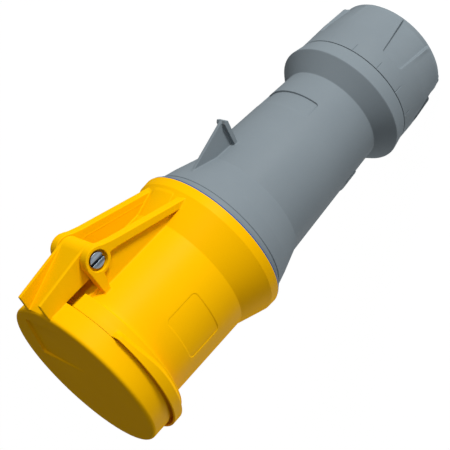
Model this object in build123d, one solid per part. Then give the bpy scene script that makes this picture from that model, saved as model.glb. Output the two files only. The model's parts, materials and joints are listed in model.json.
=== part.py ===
from build123d import *
import os
from math import asin, atan2, cos, degrees, hypot, radians, sin, sqrt

# Industrial cable coupler: the socket end of a heavy round connector for two poles and earth.
# A yellow housing with a sprung lid carries the contacts. A grey handle with a cable gland closes it.
#
# Frame: the coupler stands on its gland nut. The origin is the middle of the nut's rear face,
# +Z runs along the cable axis to the lid, the lid's hinge is on the -Y side and its pin lies along X.
# Lengths are in millimetres, angles in degrees, and every R is a radius.

# Plug that goes in
SLEEVE_OUTER_R = 41.0         # outside of the plug's sleeve
SLEEVE_INNER_R = 35.5         # inside of the plug's sleeve
SLEEVE_ROOM = 1.0             # room round the sleeve inside the housing
INSERT_ROOM = 0.5             # room between the sleeve and the contact insert
SLEEVE_DEPTH = 70.0           # how far the sleeve goes in
LINE_PIN_R = 4.0
EARTH_PIN_R = 5.0
PILOT_PIN_R = 3.0
PIN_ROOM = 0.05               # running room round each pin
PIN_DEPTH = 42.0              # how far a pin goes into its contact
CONTACT_CIRCLE_R = 19.5       # circle on which the contacts stand
EARTH_CLOCK = 4               # hour at which the earth contact stands, the hinge being at twelve
POLES = 3

# Clearances between pieces
SLIDE_ROOM = 0.3              # round pieces that lie in one another without a fit
PIVOT_ROOM = 0.06             # pin in a turning bore
FIXED_ROOM = 0.05             # pin or screw in the piece that holds it
LID_SIDE_ROOM = 0.5           # lid arm between the two hinge ears
LID_SEAT_GAP = 0.1            # lid rim above the housing mouth
END_ROOM = 1.0                # room at the end of a piece that stops short
CUT = 1.0                     # how far a cutting form runs past the face it cuts
WELD = 0.5                    # how far forms of one moulding overlap

# Gland end
NUT_LENGTH = 47.3
NUT_REAR_R = 40.0
NUT_WAIST_R = 42.8
NUT_WAIST_Z = 25.0
NUT_FRONT_R = 43.4
NUT_REAR_ROUND = 8.0
NUT_HOLE_ROUND = 1.0
NUT_FLOOR = 5.0               # thickness of the nut's rear wall
SEAM_GAP = 0.4                # open line between the nut and the handle's collar
PANEL_COUNT = 5
PANEL_PHASE = 58.2            # first grip panel, counted from the hinge side towards -X
PANEL_LENGTH = 34.5
PANEL_FRONT_WIDTH = 16.6
PANEL_REAR_WIDTH = 25.6
PANEL_DEPTH = 1.2
PANEL_ROUND = 2.0
NICK_COUNT = 14
NICK_PHASE = 2.4
NICK_LENGTH = 7.0
NICK_WIDTH = 0.6
NICK_DEPTH = 0.4
CABLE_R = 18.0                # thickest cable that the gland takes
CABLE_ROOM = 0.5
SEAL_WALL = 5.0
SEAL_FLANGE = 4.0
CLAMP_WALL = 4.2
CLAMP_BASE = 8.0
CLAMP_TIP_WALL = 2.4
FINGER_COUNT = 12
FINGER_SLOT = 2.4
WASHER_HEIGHT = 8.0
THREAD_ROOM = 0.3             # radial room in the nut's thread
THREAD_LENGTH = 33.5          # threaded end of the handle inside the nut
THREAD_WALL = 8.6

# Handle
COLLAR_REAR_R = 43.3
COLLAR_LENGTH = 10.8
COLLAR_CREST_R = 45.4
COLLAR_SLOPE = 11.2
GRIP_REAR_R = 35.3
GRIP_LENGTH = 86.5
GRIP_FRONT_R = 40.6
SHOULDER_LENGTH = 19.3
SHOULDER_R = 46.4
BELL_LENGTH = 11.3
BELL_R = 49.4
BAND_R = 50.0
BAND_LENGTH = 3.4
CREST_ROUND = 1.0
SHOULDER_ROUND = 12.0
BELL_ROUND = 6.0
HANDLE_WALL = 3.0
SPIGOT_LENGTH = 10.0
STOP_THICKNESS = 6.0          # inner step that the gland parts push against
FIN_FRONT = 15.5              # fin stations, back from the joint face
FIN_TOP = 46.7
FIN_HEIGHT = 56.9
FIN_WEB = 2.2
FIN_PLATE_WIDTH = 7.6
FIN_PLATE = 2.6
FIN_TAPER = 1.5               # how far the fin's edges lean
FIELD_NEAR = 87.6             # label fields on the grip, back from the joint face
FIELD_FAR = 101.0
FIELD_HALF_ANGLE = 38.0
FIELD_DEPTH = 0.6
PAD_HALF_ANGLE = 52.0
PAD_HEIGHT = 0.8
JOINT_SEAL = 0.8              # thickness of the flat seal between handle and housing
JOINT_SEAL_INSET = 0.5        # seal's edge inside the flange's edge

# Socket housing
FLANGE_R = 52.5
FLANGE_WIDTH = 6.0
FLANGE_LEAN = 0.3
FLANGE_ROUND = 1.5
EDGE_ROUND = 0.6
SPIGOT_INSET = 5.0            # handle's spigot inside the flange's edge
SKIRT_LENGTH = 20.0
BARREL_WALL = 3.3
BARREL_LENGTH = 63.0
MOUTH_LENGTH = 10.4
MOUTH_R = 53.0
MOUTH_ROUND = 0.8
SHELL_WALL = 4.0
SHELF_THICKNESS = 8.0
SHELF_DROP = 8.0              # rear face of the shelf, in front of the barrel's rear edge
LIP_ROOM = 1.2                # gap between the lid's edge and the lip
LIP_WALL = 2.0
LIP_RISE = 0.8                # lip above the mouth
LIP_REAR = 6.8                # where the lip's chamfer ends, behind the mouth
LIP_START = 49.0              # the lip is left out within this angle of the hinge
LIP_ROUND = 0.5
KEYWAY_WIDTH = 8.2
KEYWAY_DEPTH = 1.6
LABEL_NEAR = 45.0             # label field on the barrel, in front of the joint face
LABEL_FAR = 69.8
LABEL_MIDDLE = 88.0
LABEL_HALF_WIDTH = 15.5
LABEL_DEPTH = 0.3
LABEL_ROUND = 3.0

# Hinge
HINGE_UP = 73.0               # pin in front of the joint face
HINGE_OUT = 60.9              # pin away from the axis
PIN_R = 3.0
PIN_HEAD_R = 4.65
PIN_HEAD = 2.4
PIN_HEAD_SINK = 0.8
PIN_SLOT = 1.1
PIN_SLOT_DEPTH = 1.2
PIN_SLOT_ANGLE = 0.0
EYE_R = 8.5
EYE_RECESS_R = 6.3
EAR_OUTER = 17.5
EAR_THICKNESS = 6.0
WEB_INSET = 3.0
BEAM_ROOT_TOP = 46.4          # beam edges at the flange, out from the axis
BEAM_ROOT_LOW = 42.0
BEAM_HIGH_TOP = 64.0          # beam edges near the eye
BEAM_HIGH_LOW = 58.4
BEAM_RUN = 14.0               # where the beam meets the eye, behind the pin
BEAM_START = 1.0              # beam's root in front of the joint face
BEAM_BEND = 20.0
LEG_WIDTH = 4.0
LEG_LEAN = 2.0
KERB = 1.8
KERB_HEIGHT = 1.5
NOTCH_HALF = 15.4

# Lid
LID_HEIGHT = 14.0
LID_WALL = 3.0
LID_EDGE_ROUND = 2.2
LID_RIB = 1.6
GASKET_STEP = 0.6             # gasket's inner edge outside the bore
GASKET_HEIGHT = 4.0
ARM_UNDER = 52.0
ARM_TIP = 62.7
ARM_DROP = 0.4                # cheeks' edge below the lid's face
FLOOR_INSET = 0.2             # start of the arm's floor inside the lid's edge
FLOOR_DROP = 1.0              # start of the arm's floor below the lid's face
CHEEK = 2.2
ARM_FLOOR = 2.6
KNUCKLE_R = 8.0
SPRING_BAY_HALF = 6.0
ARM_RIB = 1.6
SPRING_WIRE_R = 0.7
SPRING_BAY_ROOM = 0.3         # coil under the arm's floor
SPRING_FULL_TURNS = 3
SPRING_PITCH = 2.5
SPRING_FRONT_LEG = 14.0
SPRING_END_ROOM = 2.1         # free end of the rear leg above the barrel

# Contact insert
INSERT_RECESS = 3.4           # front of the insert, behind the mouth
INSERT_ROUND = 1.5
INSERT_WALL = 3.5
INSERT_FRONT = 14.0           # solid front of the insert
CARRIER_FLANGE = 6.0          # carrier's flange under the housing's shelf
CARRIER_FLANGE_R = 41.6
CARRIER_HEIGHT = 12.0         # carrier behind its flange
CARRIER_INSET = 2.0
CONTACT_RECESS = 3.0
CONTACT_WALL = 2.0
CONTACT_COLLAR = 2.6
CONTACT_COLLAR_LENGTH = 4.0
CONTACT_SLOT = 0.8
CONTACT_END_ROOM = 0.4
PIN_ENTRY = 0.6               # lead-in round each pin in the insert's front
CONTACT_SLOT_LENGTH = 24.0
SLOTS_PER_CONTACT = 4
SPRING_RING = 0.7
SPRING_RING_LENGTH = 5.0
SPRING_RING_SET = 5.0
RING_ROOM = 0.5
TERMINAL_LENGTH = 22.0        # terminals behind the carrier
TERMINAL_R = 8.0
WIRE_R = 5.2
WIRE_DEPTH = 20.0             # how far a wire goes into its terminal
PILOT_TERMINAL_R = 5.0
PILOT_WIRE_R = 2.4
SCREWS_PER_TERMINAL = 2
SCREW_R = 2.6
SCREW_FIRST = 5.0             # first clamping screw from the terminal's end
SCREW_SPACING = 10.0
SCREW_PROUD = 1.2
SCREW_BITE = 0.4              # screw's tip from the middle, as a share of the wire's radius
SCREW_SLOT = 0.8
SCREW_SLOT_DEPTH = 1.0
FIXING_R = 2.0
FIXING_HEAD_R = 3.6
FIXING_HEAD = 2.4
FIXING_GRIP = 6.0
FIXING_COUNT = 3
FIXING_SLOT = 1.0

# Heights that follow
Z_SEAM = NUT_LENGTH + SEAM_GAP
Z_CREST = Z_SEAM + COLLAR_LENGTH
Z_GRIP = Z_CREST + COLLAR_SLOPE
Z_SHOULDER = Z_GRIP + GRIP_LENGTH
Z_BELL = Z_SHOULDER + SHOULDER_LENGTH
Z_BAND = Z_BELL + BELL_LENGTH
Z_JOINT = Z_BAND + BAND_LENGTH
Z_FLANGE = Z_JOINT + FLANGE_WIDTH
Z_BARREL = Z_FLANGE + SKIRT_LENGTH
Z_COLLAR = Z_BARREL + BARREL_LENGTH
Z_MOUTH = Z_COLLAR + MOUTH_LENGTH
Z_LID_RIM = Z_MOUTH + LID_SEAT_GAP
Z_LID_FACE = Z_LID_RIM + LID_HEIGHT
Z_PIN = Z_JOINT + HINGE_UP
Z_SHELF = Z_BARREL - SHELF_DROP
Z_THREAD_END = Z_SEAM - THREAD_LENGTH
Z_STOP = Z_SEAM - SEAM_GAP
Z_INSERT_FACE = Z_MOUTH - INSERT_RECESS
Z_FLANGE_REAR = Z_SHELF - CARRIER_FLANGE
Z_CONTACT_FACE = Z_INSERT_FACE - CONTACT_RECESS
Z_CARRIER = Z_FLANGE_REAR - CARRIER_HEIGHT
Z_TERMINAL = Z_CARRIER - TERMINAL_LENGTH
Z_FINGER_TIP = NUT_FLOOR + END_ROOM
Z_FINGER_ROOT = Z_STOP - CLAMP_BASE

# Radii that follow
BORE_R = SLEEVE_OUTER_R + SLEEVE_ROOM
INSERT_R = SLEEVE_INNER_R - INSERT_ROOM
BARREL_R = BORE_R + BARREL_WALL
SPIGOT_R = FLANGE_R - SPIGOT_INSET
SPIGOT_BORE_R = SPIGOT_R + SLIDE_ROOM
SEAL_R = CABLE_R + CABLE_ROOM
SEAL_OUTER_R = SEAL_R + SEAL_WALL
CLAMP_BORE_R = SEAL_OUTER_R + SLIDE_ROOM
CLAMP_R = CLAMP_BORE_R + CLAMP_WALL
FINGER_TIP_R = CLAMP_BORE_R + CLAMP_TIP_WALL
GLAND_BORE_R = CLAMP_R + SLIDE_ROOM
THREAD_R = GLAND_BORE_R + THREAD_WALL
NUT_BORE_R = THREAD_R + THREAD_ROOM
NUT_MOUTH_R = SEAL_OUTER_R - SLIDE_ROOM
EAR_INNER = EAR_OUTER - EAR_THICKNESS
ARM_HALF = EAR_INNER - LID_SIDE_ROOM
GASKET_INNER_R = BORE_R + GASKET_STEP
GASKET_OUTER_R = MOUTH_R - LID_WALL
CARRIER_R = INSERT_R - CARRIER_INSET
LIP_INNER_R = MOUTH_R + LIP_ROOM
LIP_R = LIP_INNER_R + LIP_WALL
SPRING_BAY_R = KNUCKLE_R - ARM_FLOOR
SPRING_COIL_R = SPRING_BAY_R - SPRING_BAY_ROOM - SPRING_WIRE_R
SPRING_REAR_LEG = HINGE_OUT - BARREL_R - SPRING_END_ROOM

# Plane of the hinge's side view: local x runs out to the hinge side, local y is height.
SIDE = Plane(origin=(0, 0, 0), x_dir=(0, -1, 0), z_dir=(-1, 0, 0))


def outline(points, rounds=()):
    """Flat face through the points, with the corners named in rounds given their radius."""
    face = make_face(Polyline(*points, close=True))
    for corner, radius in rounds:
        face = fillet(face.vertices().sort_by_distance(Vector(*corner))[0], radius)
    return face


def turned(points, rounds=()):
    """Solid of revolution about Z of an outline of (radius, height) points."""
    return revolve(Plane.XZ * outline(points, rounds), Axis.Z)


def ring(inner, outer, low, high):
    """Plain round ring between two radii and two heights."""
    return turned([(inner, low), (outer, low), (outer, high), (inner, high)])


def rod(radius, low, high, x=0.0, y=0.0):
    """Upright round bar."""
    return Pos(x, y, low) * Cylinder(radius, high - low, align=(Align.CENTER, Align.CENTER, Align.MIN))


def cross_rod(radius, start, end, out=HINGE_OUT, up=Z_PIN):
    """Round bar along X between two places, out from the axis on the hinge side."""
    bar = Cylinder(radius, end - start, align=(Align.CENTER, Align.CENTER, Align.MIN))
    return Pos(start, -out, up) * Rot(0, 90, 0) * bar


def slab(face, start, end):
    """Thick plate of a side-view face, from one X to the other."""
    return Pos(end, 0, 0) * extrude(SIDE * face, end - start)


def bearing(angle):
    """Direction in plan of an angle that is counted from the hinge side towards -X."""
    return (-sin(radians(angle)), -cos(radians(angle)))


def sector(middle, half, low, high):
    """Wedge about the axis, half an angle to each side of a middle direction."""
    reach = 2 * LIP_R
    edge = [bearing(middle - half), bearing(middle + half)]
    flat = make_face(Polyline((0, 0), *[(reach * x, reach * y) for x, y in edge], close=True))
    return Pos(0, 0, low) * extrude(flat, high - low)


def facing(angle):
    """Place on the axis that turns local +X out to an angle counted from the hinge side."""
    return Rot(0, 0, -90 - angle)


def between(low, high, share):
    """Value part of the way from one value to another."""
    return low + (high - low) * share


def ear_sides():
    """The X spans of the two hinge ears."""
    return [(-EAR_OUTER, -EAR_INNER), (EAR_INNER, EAR_OUTER)]


def beam_face():
    """Side view of an ear's beam, from the flange up to the eye."""
    meet = Z_PIN - BEAM_RUN
    root = Z_JOINT + BEAM_START
    return outline([
        (BEAM_ROOT_LOW, root), (BEAM_ROOT_TOP, root), (BEAM_HIGH_TOP, meet), (HINGE_OUT + EYE_R, Z_PIN),
        (HINGE_OUT, Z_PIN), (BEAM_HIGH_LOW, meet),
    ], [((BEAM_HIGH_TOP, meet), BEAM_BEND)])


def leg_face():
    """Side view of the leg that drops from the eye to the barrel."""
    front = Z_PIN + EYE_R
    foot = BORE_R - CUT
    return outline([
        (HINGE_OUT, front), (foot, front - LEG_LEAN), (foot, front - LEG_LEAN - LEG_WIDTH),
        (HINGE_OUT - EYE_R / 2, Z_PIN),
    ])


def web_face():
    """Side view of the thin web between beam, leg and barrel."""
    foot = BORE_R - CUT
    root = Z_JOINT + BEAM_START
    return outline([
        (foot, root), (BEAM_ROOT_LOW + WELD, root), (BEAM_HIGH_LOW + WELD, Z_PIN - BEAM_RUN),
        (HINGE_OUT, Z_PIN), (HINGE_OUT - EYE_R / 2, Z_PIN + EYE_R / 2),
        (foot, Z_PIN + EYE_R - LEG_LEAN - WELD),
    ])


def hinge_ears():
    """Both ears: beam, eye, leg and web, joined to the housing by their feet."""
    body = []
    for start, end in ear_sides():
        eye = cross_rod(EYE_R, start, end)
        thick = slab(beam_face(), start, end) + slab(leg_face(), start, end) + eye
        inset = WEB_INSET if start < 0 else 0
        outset = WEB_INSET if start > 0 else 0
        body.append(thick + slab(web_face(), start + inset, end - outset))
    return body


def kerbs():
    """Low walls that run from the ears' legs to the mouth, beside the lid arm."""
    foot = BORE_R - CUT
    top = BARREL_R + KERB_HEIGHT
    face = outline([(foot, Z_PIN), (top, Z_PIN), (top, Z_MOUTH), (foot, Z_MOUTH)])
    return [slab(face, -EAR_INNER - KERB, -EAR_INNER), slab(face, EAR_INNER, EAR_INNER + KERB)]


def shell_outer():
    """Outer form of the housing without its hinge: flange, skirt, barrel and mouth collar."""
    front_r = FLANGE_R - FLANGE_LEAN
    return turned([
        (0, Z_JOINT), (FLANGE_R, Z_JOINT), (front_r, Z_FLANGE), (BARREL_R, Z_BARREL),
        (BARREL_R, Z_COLLAR), (MOUTH_R, Z_COLLAR), (MOUTH_R, Z_MOUTH), (0, Z_MOUTH),
    ], [((FLANGE_R, Z_JOINT), EDGE_ROUND), ((front_r, Z_FLANGE), FLANGE_ROUND),
        ((MOUTH_R, Z_COLLAR), MOUTH_ROUND)])


def mouth_lip():
    """Raised lip that shrouds the lid's edge, left out beside the hinge."""
    rear = Z_MOUTH - LIP_REAR
    front = Z_MOUTH + LIP_RISE
    root = Z_COLLAR + MOUTH_ROUND
    full = turned([
        (MOUTH_R - WELD, root), (MOUTH_R, root), (LIP_R, rear), (LIP_R, front),
        (LIP_INNER_R, front), (LIP_INNER_R, Z_MOUTH), (MOUTH_R - WELD, Z_MOUTH),
    ], [((LIP_R, front), LIP_ROUND)])
    return full - sector(0, LIP_START, Z_COLLAR, front + CUT)


def shell_cavity():
    """Everything hollow in the housing: sleeve bore, shelf hole, rear room and spigot bore."""
    spigot_end = Z_JOINT + SPIGOT_LENGTH + END_ROOM
    shelf_top = Z_SHELF + SHELF_THICKNESS
    rear_r = between(FLANGE_R, BARREL_R, (Z_SHELF - Z_FLANGE) / SKIRT_LENGTH) - SHELL_WALL
    shelf_r = INSERT_R + SLIDE_ROOM
    return turned([
        (0, Z_JOINT - CUT), (SPIGOT_BORE_R, Z_JOINT - CUT), (SPIGOT_BORE_R, spigot_end),
        (rear_r, Z_SHELF), (shelf_r, Z_SHELF), (shelf_r, shelf_top),
        (BORE_R, shelf_top), (BORE_R, Z_MOUTH + CUT), (0, Z_MOUTH + CUT),
    ])


def fixing_places():
    """Plan positions of the screws that hold the carrier, between the contacts."""
    middle_r = (INSERT_R + BORE_R) / 2
    first = EARTH_CLOCK * 30 + 180 / POLES
    angles = [first + 360 / FIXING_COUNT * i for i in range(FIXING_COUNT)]
    return [(middle_r * bearing(a)[0], middle_r * bearing(a)[1]) for a in angles]


def label_field():
    """Shallow rounded field for the rating label, on the barrel's -X side."""
    low = Z_JOINT + LABEL_NEAR
    high = Z_JOINT + LABEL_FAR
    patch = Pos(0, (low + high) / 2) * RectangleRounded(2 * LABEL_HALF_WIDTH, high - low, LABEL_ROUND)
    block = facing(LABEL_MIDDLE) * extrude(Plane.YZ * patch, BARREL_R + CUT)
    return block - rod(BARREL_R - LABEL_DEPTH, low, high)


def socket_shell():
    """The yellow housing, one moulding."""
    body = shell_outer() + mouth_lip()
    notch = Box(2 * NOTCH_HALF, LIP_R, MOUTH_LENGTH, align=(Align.CENTER, Align.MAX, Align.MIN))
    body -= Pos(0, 0, Z_COLLAR) * notch - rod(BARREL_R, Z_COLLAR, Z_MOUTH)
    for piece in hinge_ears() + kerbs():
        body += piece
    body -= shell_cavity()
    reach = BORE_R + KEYWAY_DEPTH
    keyway = Box(KEYWAY_WIDTH, reach, SLEEVE_DEPTH, align=(Align.CENTER, Align.MIN, Align.MAX))
    body -= Pos(0, 0, Z_MOUTH) * keyway
    body -= cross_rod(PIN_R + FIXED_ROOM, -EAR_OUTER, EAR_OUTER)
    recess = PIN_HEAD_SINK + PIN_HEAD
    body -= cross_rod(EYE_RECESS_R, -EAR_OUTER - CUT, -EAR_OUTER + recess)
    body -= cross_rod(EYE_RECESS_R, EAR_OUTER - recess, EAR_OUTER + CUT)
    for x, y in fixing_places():
        body -= rod(FIXING_R + FIXED_ROOM, Z_SHELF - CUT, Z_SHELF + FIXING_GRIP, x, y)
    return body - label_field()


def hinge_pin():
    """Steel hinge pin with a slotted head in the -X ear."""
    head_start = -EAR_OUTER + PIN_HEAD_SINK
    head_end = head_start + PIN_HEAD
    body = cross_rod(PIN_HEAD_R, head_start, head_end) + cross_rod(PIN_R, head_end, -head_end)
    slot = Box(2 * PIN_SLOT_DEPTH, PIN_SLOT, 2 * PIN_HEAD_R + CUT)
    return body - Pos(head_start, -HINGE_OUT, Z_PIN) * Rot(PIN_SLOT_ANGLE, 0, 0) * slot


def tangent_angle(out, up, radius):
    """Angle, outwards to +Z, at which a line from (out, up) touches a circle about the pin."""
    away = hypot(out - HINGE_OUT, up - Z_PIN)
    return degrees(atan2(up - Z_PIN, out - HINGE_OUT)) - degrees(asin(sqrt(1 - (radius / away) ** 2)))


def on_pin_circle(radius, angle):
    """Side-view point on a circle about the hinge pin."""
    return (HINGE_OUT + radius * cos(radians(angle)), Z_PIN + radius * sin(radians(angle)))


def cheek_face():
    """Side view of a cheek of the lid arm, tapering from the lid's face to the knuckle."""
    top = Z_LID_FACE - ARM_DROP
    touch = tangent_angle(ARM_TIP, top, KNUCKLE_R)
    return outline([
        (GASKET_OUTER_R, Z_LID_RIM), (GASKET_OUTER_R, Z_LID_FACE - FLOOR_DROP), (MOUTH_R - FLOOR_INSET, top),
        (ARM_TIP, top), on_pin_circle(KNUCKLE_R, touch), (HINGE_OUT, Z_PIN),
        (ARM_UNDER, Z_PIN + PIN_R), (ARM_UNDER, Z_LID_RIM),
    ])


def floor_start():
    """Side-view point where the arm's floor leaves the lid's front edge."""
    return (MOUTH_R - FLOOR_INSET, Z_LID_FACE - FLOOR_DROP)


def floor_angle():
    """Angle about the pin at which the floor touches the knuckle."""
    return tangent_angle(*floor_start(), KNUCKLE_R)


def arm_point(distance, along):
    """Side-view point at a distance from the pin, square to the floor, and a way along the floor."""
    angle = radians(floor_angle())
    out = distance * cos(angle) - along * sin(angle)
    return (HINGE_OUT + out, Z_PIN + distance * sin(angle) + along * cos(angle))


def floor_face():
    """Side view of the arm's sloping floor between the cheeks."""
    front = hypot(floor_start()[0] - HINGE_OUT, floor_start()[1] - Z_PIN)
    run = sqrt(front ** 2 - KNUCKLE_R ** 2)
    return outline([
        arm_point(KNUCKLE_R, 0), arm_point(KNUCKLE_R, run), (GASKET_OUTER_R, Z_LID_FACE - FLOOR_DROP),
        (GASKET_OUTER_R, Z_LID_FACE - LID_WALL), arm_point(SPRING_BAY_R, run - LID_WALL),
        arm_point(SPRING_BAY_R, 0),
    ])


def bay_face():
    """Side view of the room under the floor in which the spring lies, open to the barrel."""
    reach = 2 * KNUCKLE_R
    corner = arm_point(SPRING_BAY_R, reach)
    return outline([
        arm_point(SPRING_BAY_R, 0), corner, (HINGE_OUT - reach, corner[1]),
        (HINGE_OUT - reach, Z_PIN - SPRING_BAY_R), (HINGE_OUT, Z_PIN - SPRING_BAY_R), (HINGE_OUT, Z_PIN),
    ])


def rib_face():
    """Side view of the rib that the spring's front leg pushes."""
    top = SPRING_COIL_R - SPRING_WIRE_R - SLIDE_ROOM
    end = SPRING_FRONT_LEG
    return outline([
        arm_point(top, end - 2 * ARM_RIB), arm_point(top, end - ARM_RIB),
        arm_point(top - ARM_RIB, end - ARM_RIB), arm_point(top - ARM_RIB, end - 2 * ARM_RIB),
    ])


def lid_arm():
    """Arm of the lid: knuckle, two cheeks, floor and the rib that the spring pushes."""
    body = cross_rod(KNUCKLE_R, -ARM_HALF, ARM_HALF)
    body += slab(cheek_face(), -ARM_HALF, -ARM_HALF + CHEEK)
    body += slab(cheek_face(), ARM_HALF - CHEEK, ARM_HALF)
    body += slab(floor_face(), -ARM_HALF, ARM_HALF)
    body -= cross_rod(SPRING_BAY_R, -SPRING_BAY_HALF, SPRING_BAY_HALF)
    body -= slab(bay_face(), -SPRING_BAY_HALF, SPRING_BAY_HALF)
    body += slab(rib_face(), -ARM_HALF + CHEEK / 2, ARM_HALF - CHEEK / 2)
    return body - cross_rod(PIN_R + PIVOT_ROOM, -ARM_HALF - CUT, ARM_HALF + CUT)


def lid():
    """The yellow lid with its hinge arm, one moulding."""
    rib_r = GASKET_INNER_R - LID_RIB
    rib_end = Z_LID_RIM + END_ROOM
    seat = Z_LID_RIM + GASKET_HEIGHT
    inside = Z_LID_FACE - LID_WALL
    cap = turned([
        (0, inside), (rib_r, inside), (rib_r, rib_end), (GASKET_INNER_R, rib_end),
        (GASKET_INNER_R, seat), (GASKET_OUTER_R, seat), (GASKET_OUTER_R, Z_LID_RIM), (MOUTH_R, Z_LID_RIM),
        (MOUTH_R, Z_LID_FACE), (0, Z_LID_FACE),
    ], [((MOUTH_R, Z_LID_FACE), LID_EDGE_ROUND)])
    return cap + lid_arm()


def lid_gasket():
    """Flat rubber ring in the lid, which closes on the mouth."""
    return ring(GASKET_INNER_R, GASKET_OUTER_R, Z_LID_RIM, Z_LID_RIM + GASKET_HEIGHT)


def lid_spring():
    """Torsion spring round the hinge pin: one leg under the arm's floor, one down to the barrel."""
    turns = SPRING_FULL_TURNS + (90 + floor_angle()) / 360
    length = turns * SPRING_PITCH
    coil = Helix(SPRING_PITCH, length, SPRING_COIL_R, lefthand=True)
    path = Pos(-length / 2, -HINGE_OUT, Z_PIN) * Rot(0, 90, 0) * coil
    wire = Circle(SPRING_WIRE_R)
    body = sweep(Plane(origin=path @ 0, z_dir=path % 0) * wire, path)
    body += extrude(Plane(origin=path @ 1, z_dir=path % 1) * wire, SPRING_FRONT_LEG)
    return body + extrude(Plane(origin=path @ 0, z_dir=-(path % 0)) * wire, SPRING_REAR_LEG)


def contact_sizes():
    """Name, pin radius, terminal radius, wire radius and plan place of each contact."""
    places = []
    for i in range(POLES):
        angle = EARTH_CLOCK * 30 + 360 / POLES * i
        x, y = bearing(angle)
        places.append((CONTACT_CIRCLE_R * x, CONTACT_CIRCLE_R * y))
    names = ["earth_contact"] + [f"line_contact_{i}" for i in range(1, POLES)]
    radii = [EARTH_PIN_R] + [LINE_PIN_R] * (POLES - 1)
    rows = [(n, r, TERMINAL_R, WIRE_R, p) for n, r, p in zip(names, radii, places)]
    return rows + [("pilot_contact", PILOT_PIN_R, PILOT_TERMINAL_R, PILOT_WIRE_R, (0.0, 0.0))]


def contact(pin_r, terminal_r, wire_r, x, y):
    """One brass socket contact: slotted tube, collar and screw terminal."""
    bore = pin_r + PIN_ROOM
    tube = bore + CONTACT_WALL
    collar = rod(tube + CONTACT_COLLAR, Z_SHELF, Z_SHELF + CONTACT_COLLAR_LENGTH)
    body = rod(tube, Z_SHELF, Z_CONTACT_FACE) + collar + rod(terminal_r, Z_TERMINAL, Z_SHELF)
    body -= rod(bore, Z_CONTACT_FACE - PIN_DEPTH, Z_CONTACT_FACE + CUT)
    body -= rod(wire_r, Z_TERMINAL - CUT, Z_TERMINAL + WIRE_DEPTH)
    reach = 2 * (tube + CUT)
    slot = Box(reach, CONTACT_SLOT, CONTACT_SLOT_LENGTH, align=(Align.CENTER, Align.CENTER, Align.MAX))
    for i in range(SLOTS_PER_CONTACT // 2):
        body -= Pos(0, 0, Z_CONTACT_FACE) * Rot(0, 0, 360 / SLOTS_PER_CONTACT * (i + 1 / 2)) * slot
    for up, angle in terminal_screw_places(x, y):
        body -= Pos(0, 0, up) * Rot(0, 0, angle) * side_bar(SCREW_R + FIXED_ROOM, 0, terminal_r + CUT)
    return Pos(x, y, 0) * body


def side_bar(radius, start, end):
    """Round bar along +X between two places."""
    return Pos(start, 0, 0) * Rot(0, 90, 0) * rod(radius, 0, end - start)


def terminal_screw_places(x, y):
    """Heights and outward directions of a terminal's clamping screws."""
    angle = degrees(atan2(y, x))
    return [(Z_TERMINAL + SCREW_FIRST + SCREW_SPACING * i, angle) for i in range(SCREWS_PER_TERMINAL)]


def terminal_screws():
    """Clamping screws of every terminal, slotted, one group."""
    group = []
    for _, _, terminal_r, wire_r, (x, y) in contact_sizes():
        head = terminal_r + SCREW_PROUD
        screw = side_bar(SCREW_R, SCREW_BITE * wire_r, head)
        screw -= Pos(head, 0, 0) * Box(2 * SCREW_SLOT_DEPTH, 2 * (SCREW_R + CUT), SCREW_SLOT)
        for up, angle in terminal_screw_places(x, y):
            group.append(Pos(x, y, up) * Rot(0, 0, angle) * screw)
    return Compound(children=[s.solid() for s in group])


def contact_rings():
    """Steel spring rings that close the slotted ends of the contacts, one group."""
    group = []
    high = Z_CONTACT_FACE - SPRING_RING_SET
    for _, pin_r, _, _, (x, y) in contact_sizes():
        tube = pin_r + PIN_ROOM + CONTACT_WALL
        group.append(Pos(x, y, 0) * ring(tube, tube + SPRING_RING, high - SPRING_RING_LENGTH, high))
    return Compound(children=[r.solid() for r in group])


def contact_insert():
    """Front insulator: a cup over the contacts, with a stepped hole for each of them in its front."""
    wall_r = INSERT_R - INSERT_WALL
    inside = Z_INSERT_FACE - INSERT_FRONT
    body = turned([
        (wall_r, Z_SHELF), (INSERT_R, Z_SHELF), (INSERT_R, Z_INSERT_FACE), (0, Z_INSERT_FACE),
        (0, inside), (wall_r, inside),
    ], [((INSERT_R, Z_INSERT_FACE), INSERT_ROUND)])
    for _, pin_r, _, _, (x, y) in contact_sizes():
        ring_r = pin_r + PIN_ROOM + CONTACT_WALL + SPRING_RING
        body -= rod(ring_r + RING_ROOM, inside - CUT, Z_CONTACT_FACE + CONTACT_END_ROOM, x, y)
        body -= rod(pin_r + PIN_ENTRY, Z_CONTACT_FACE, Z_INSERT_FACE + CUT, x, y)
    return body


def contact_carrier():
    """Rear insulator that holds the contacts, screwed with its flange under the housing's shelf."""
    body = turned([
        (0, Z_CARRIER), (CARRIER_R, Z_CARRIER), (CARRIER_R, Z_FLANGE_REAR), (CARRIER_FLANGE_R, Z_FLANGE_REAR),
        (CARRIER_FLANGE_R, Z_SHELF), (0, Z_SHELF),
    ])
    for _, _, terminal_r, _, (x, y) in contact_sizes():
        body -= rod(terminal_r + FIXED_ROOM, Z_CARRIER - CUT, Z_SHELF + CUT, x, y)
    for x, y in fixing_places():
        body -= rod(FIXING_R + FIXED_ROOM, Z_FLANGE_REAR - CUT, Z_SHELF + CUT, x, y)
    return body


def insert_screws():
    """Screws that hold the carrier's flange to the housing's shelf, one group."""
    group = []
    head = Z_FLANGE_REAR - FIXING_HEAD
    for x, y in fixing_places():
        screw = rod(FIXING_R, Z_FLANGE_REAR, Z_SHELF + FIXING_GRIP - END_ROOM, x, y)
        screw += rod(FIXING_HEAD_R, head, Z_FLANGE_REAR, x, y)
        group.append(screw - Pos(x, y, head) * Box(2 * (FIXING_HEAD_R + CUT), FIXING_SLOT, FIXING_HEAD))
    return Compound(children=[s.solid() for s in group])


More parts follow.
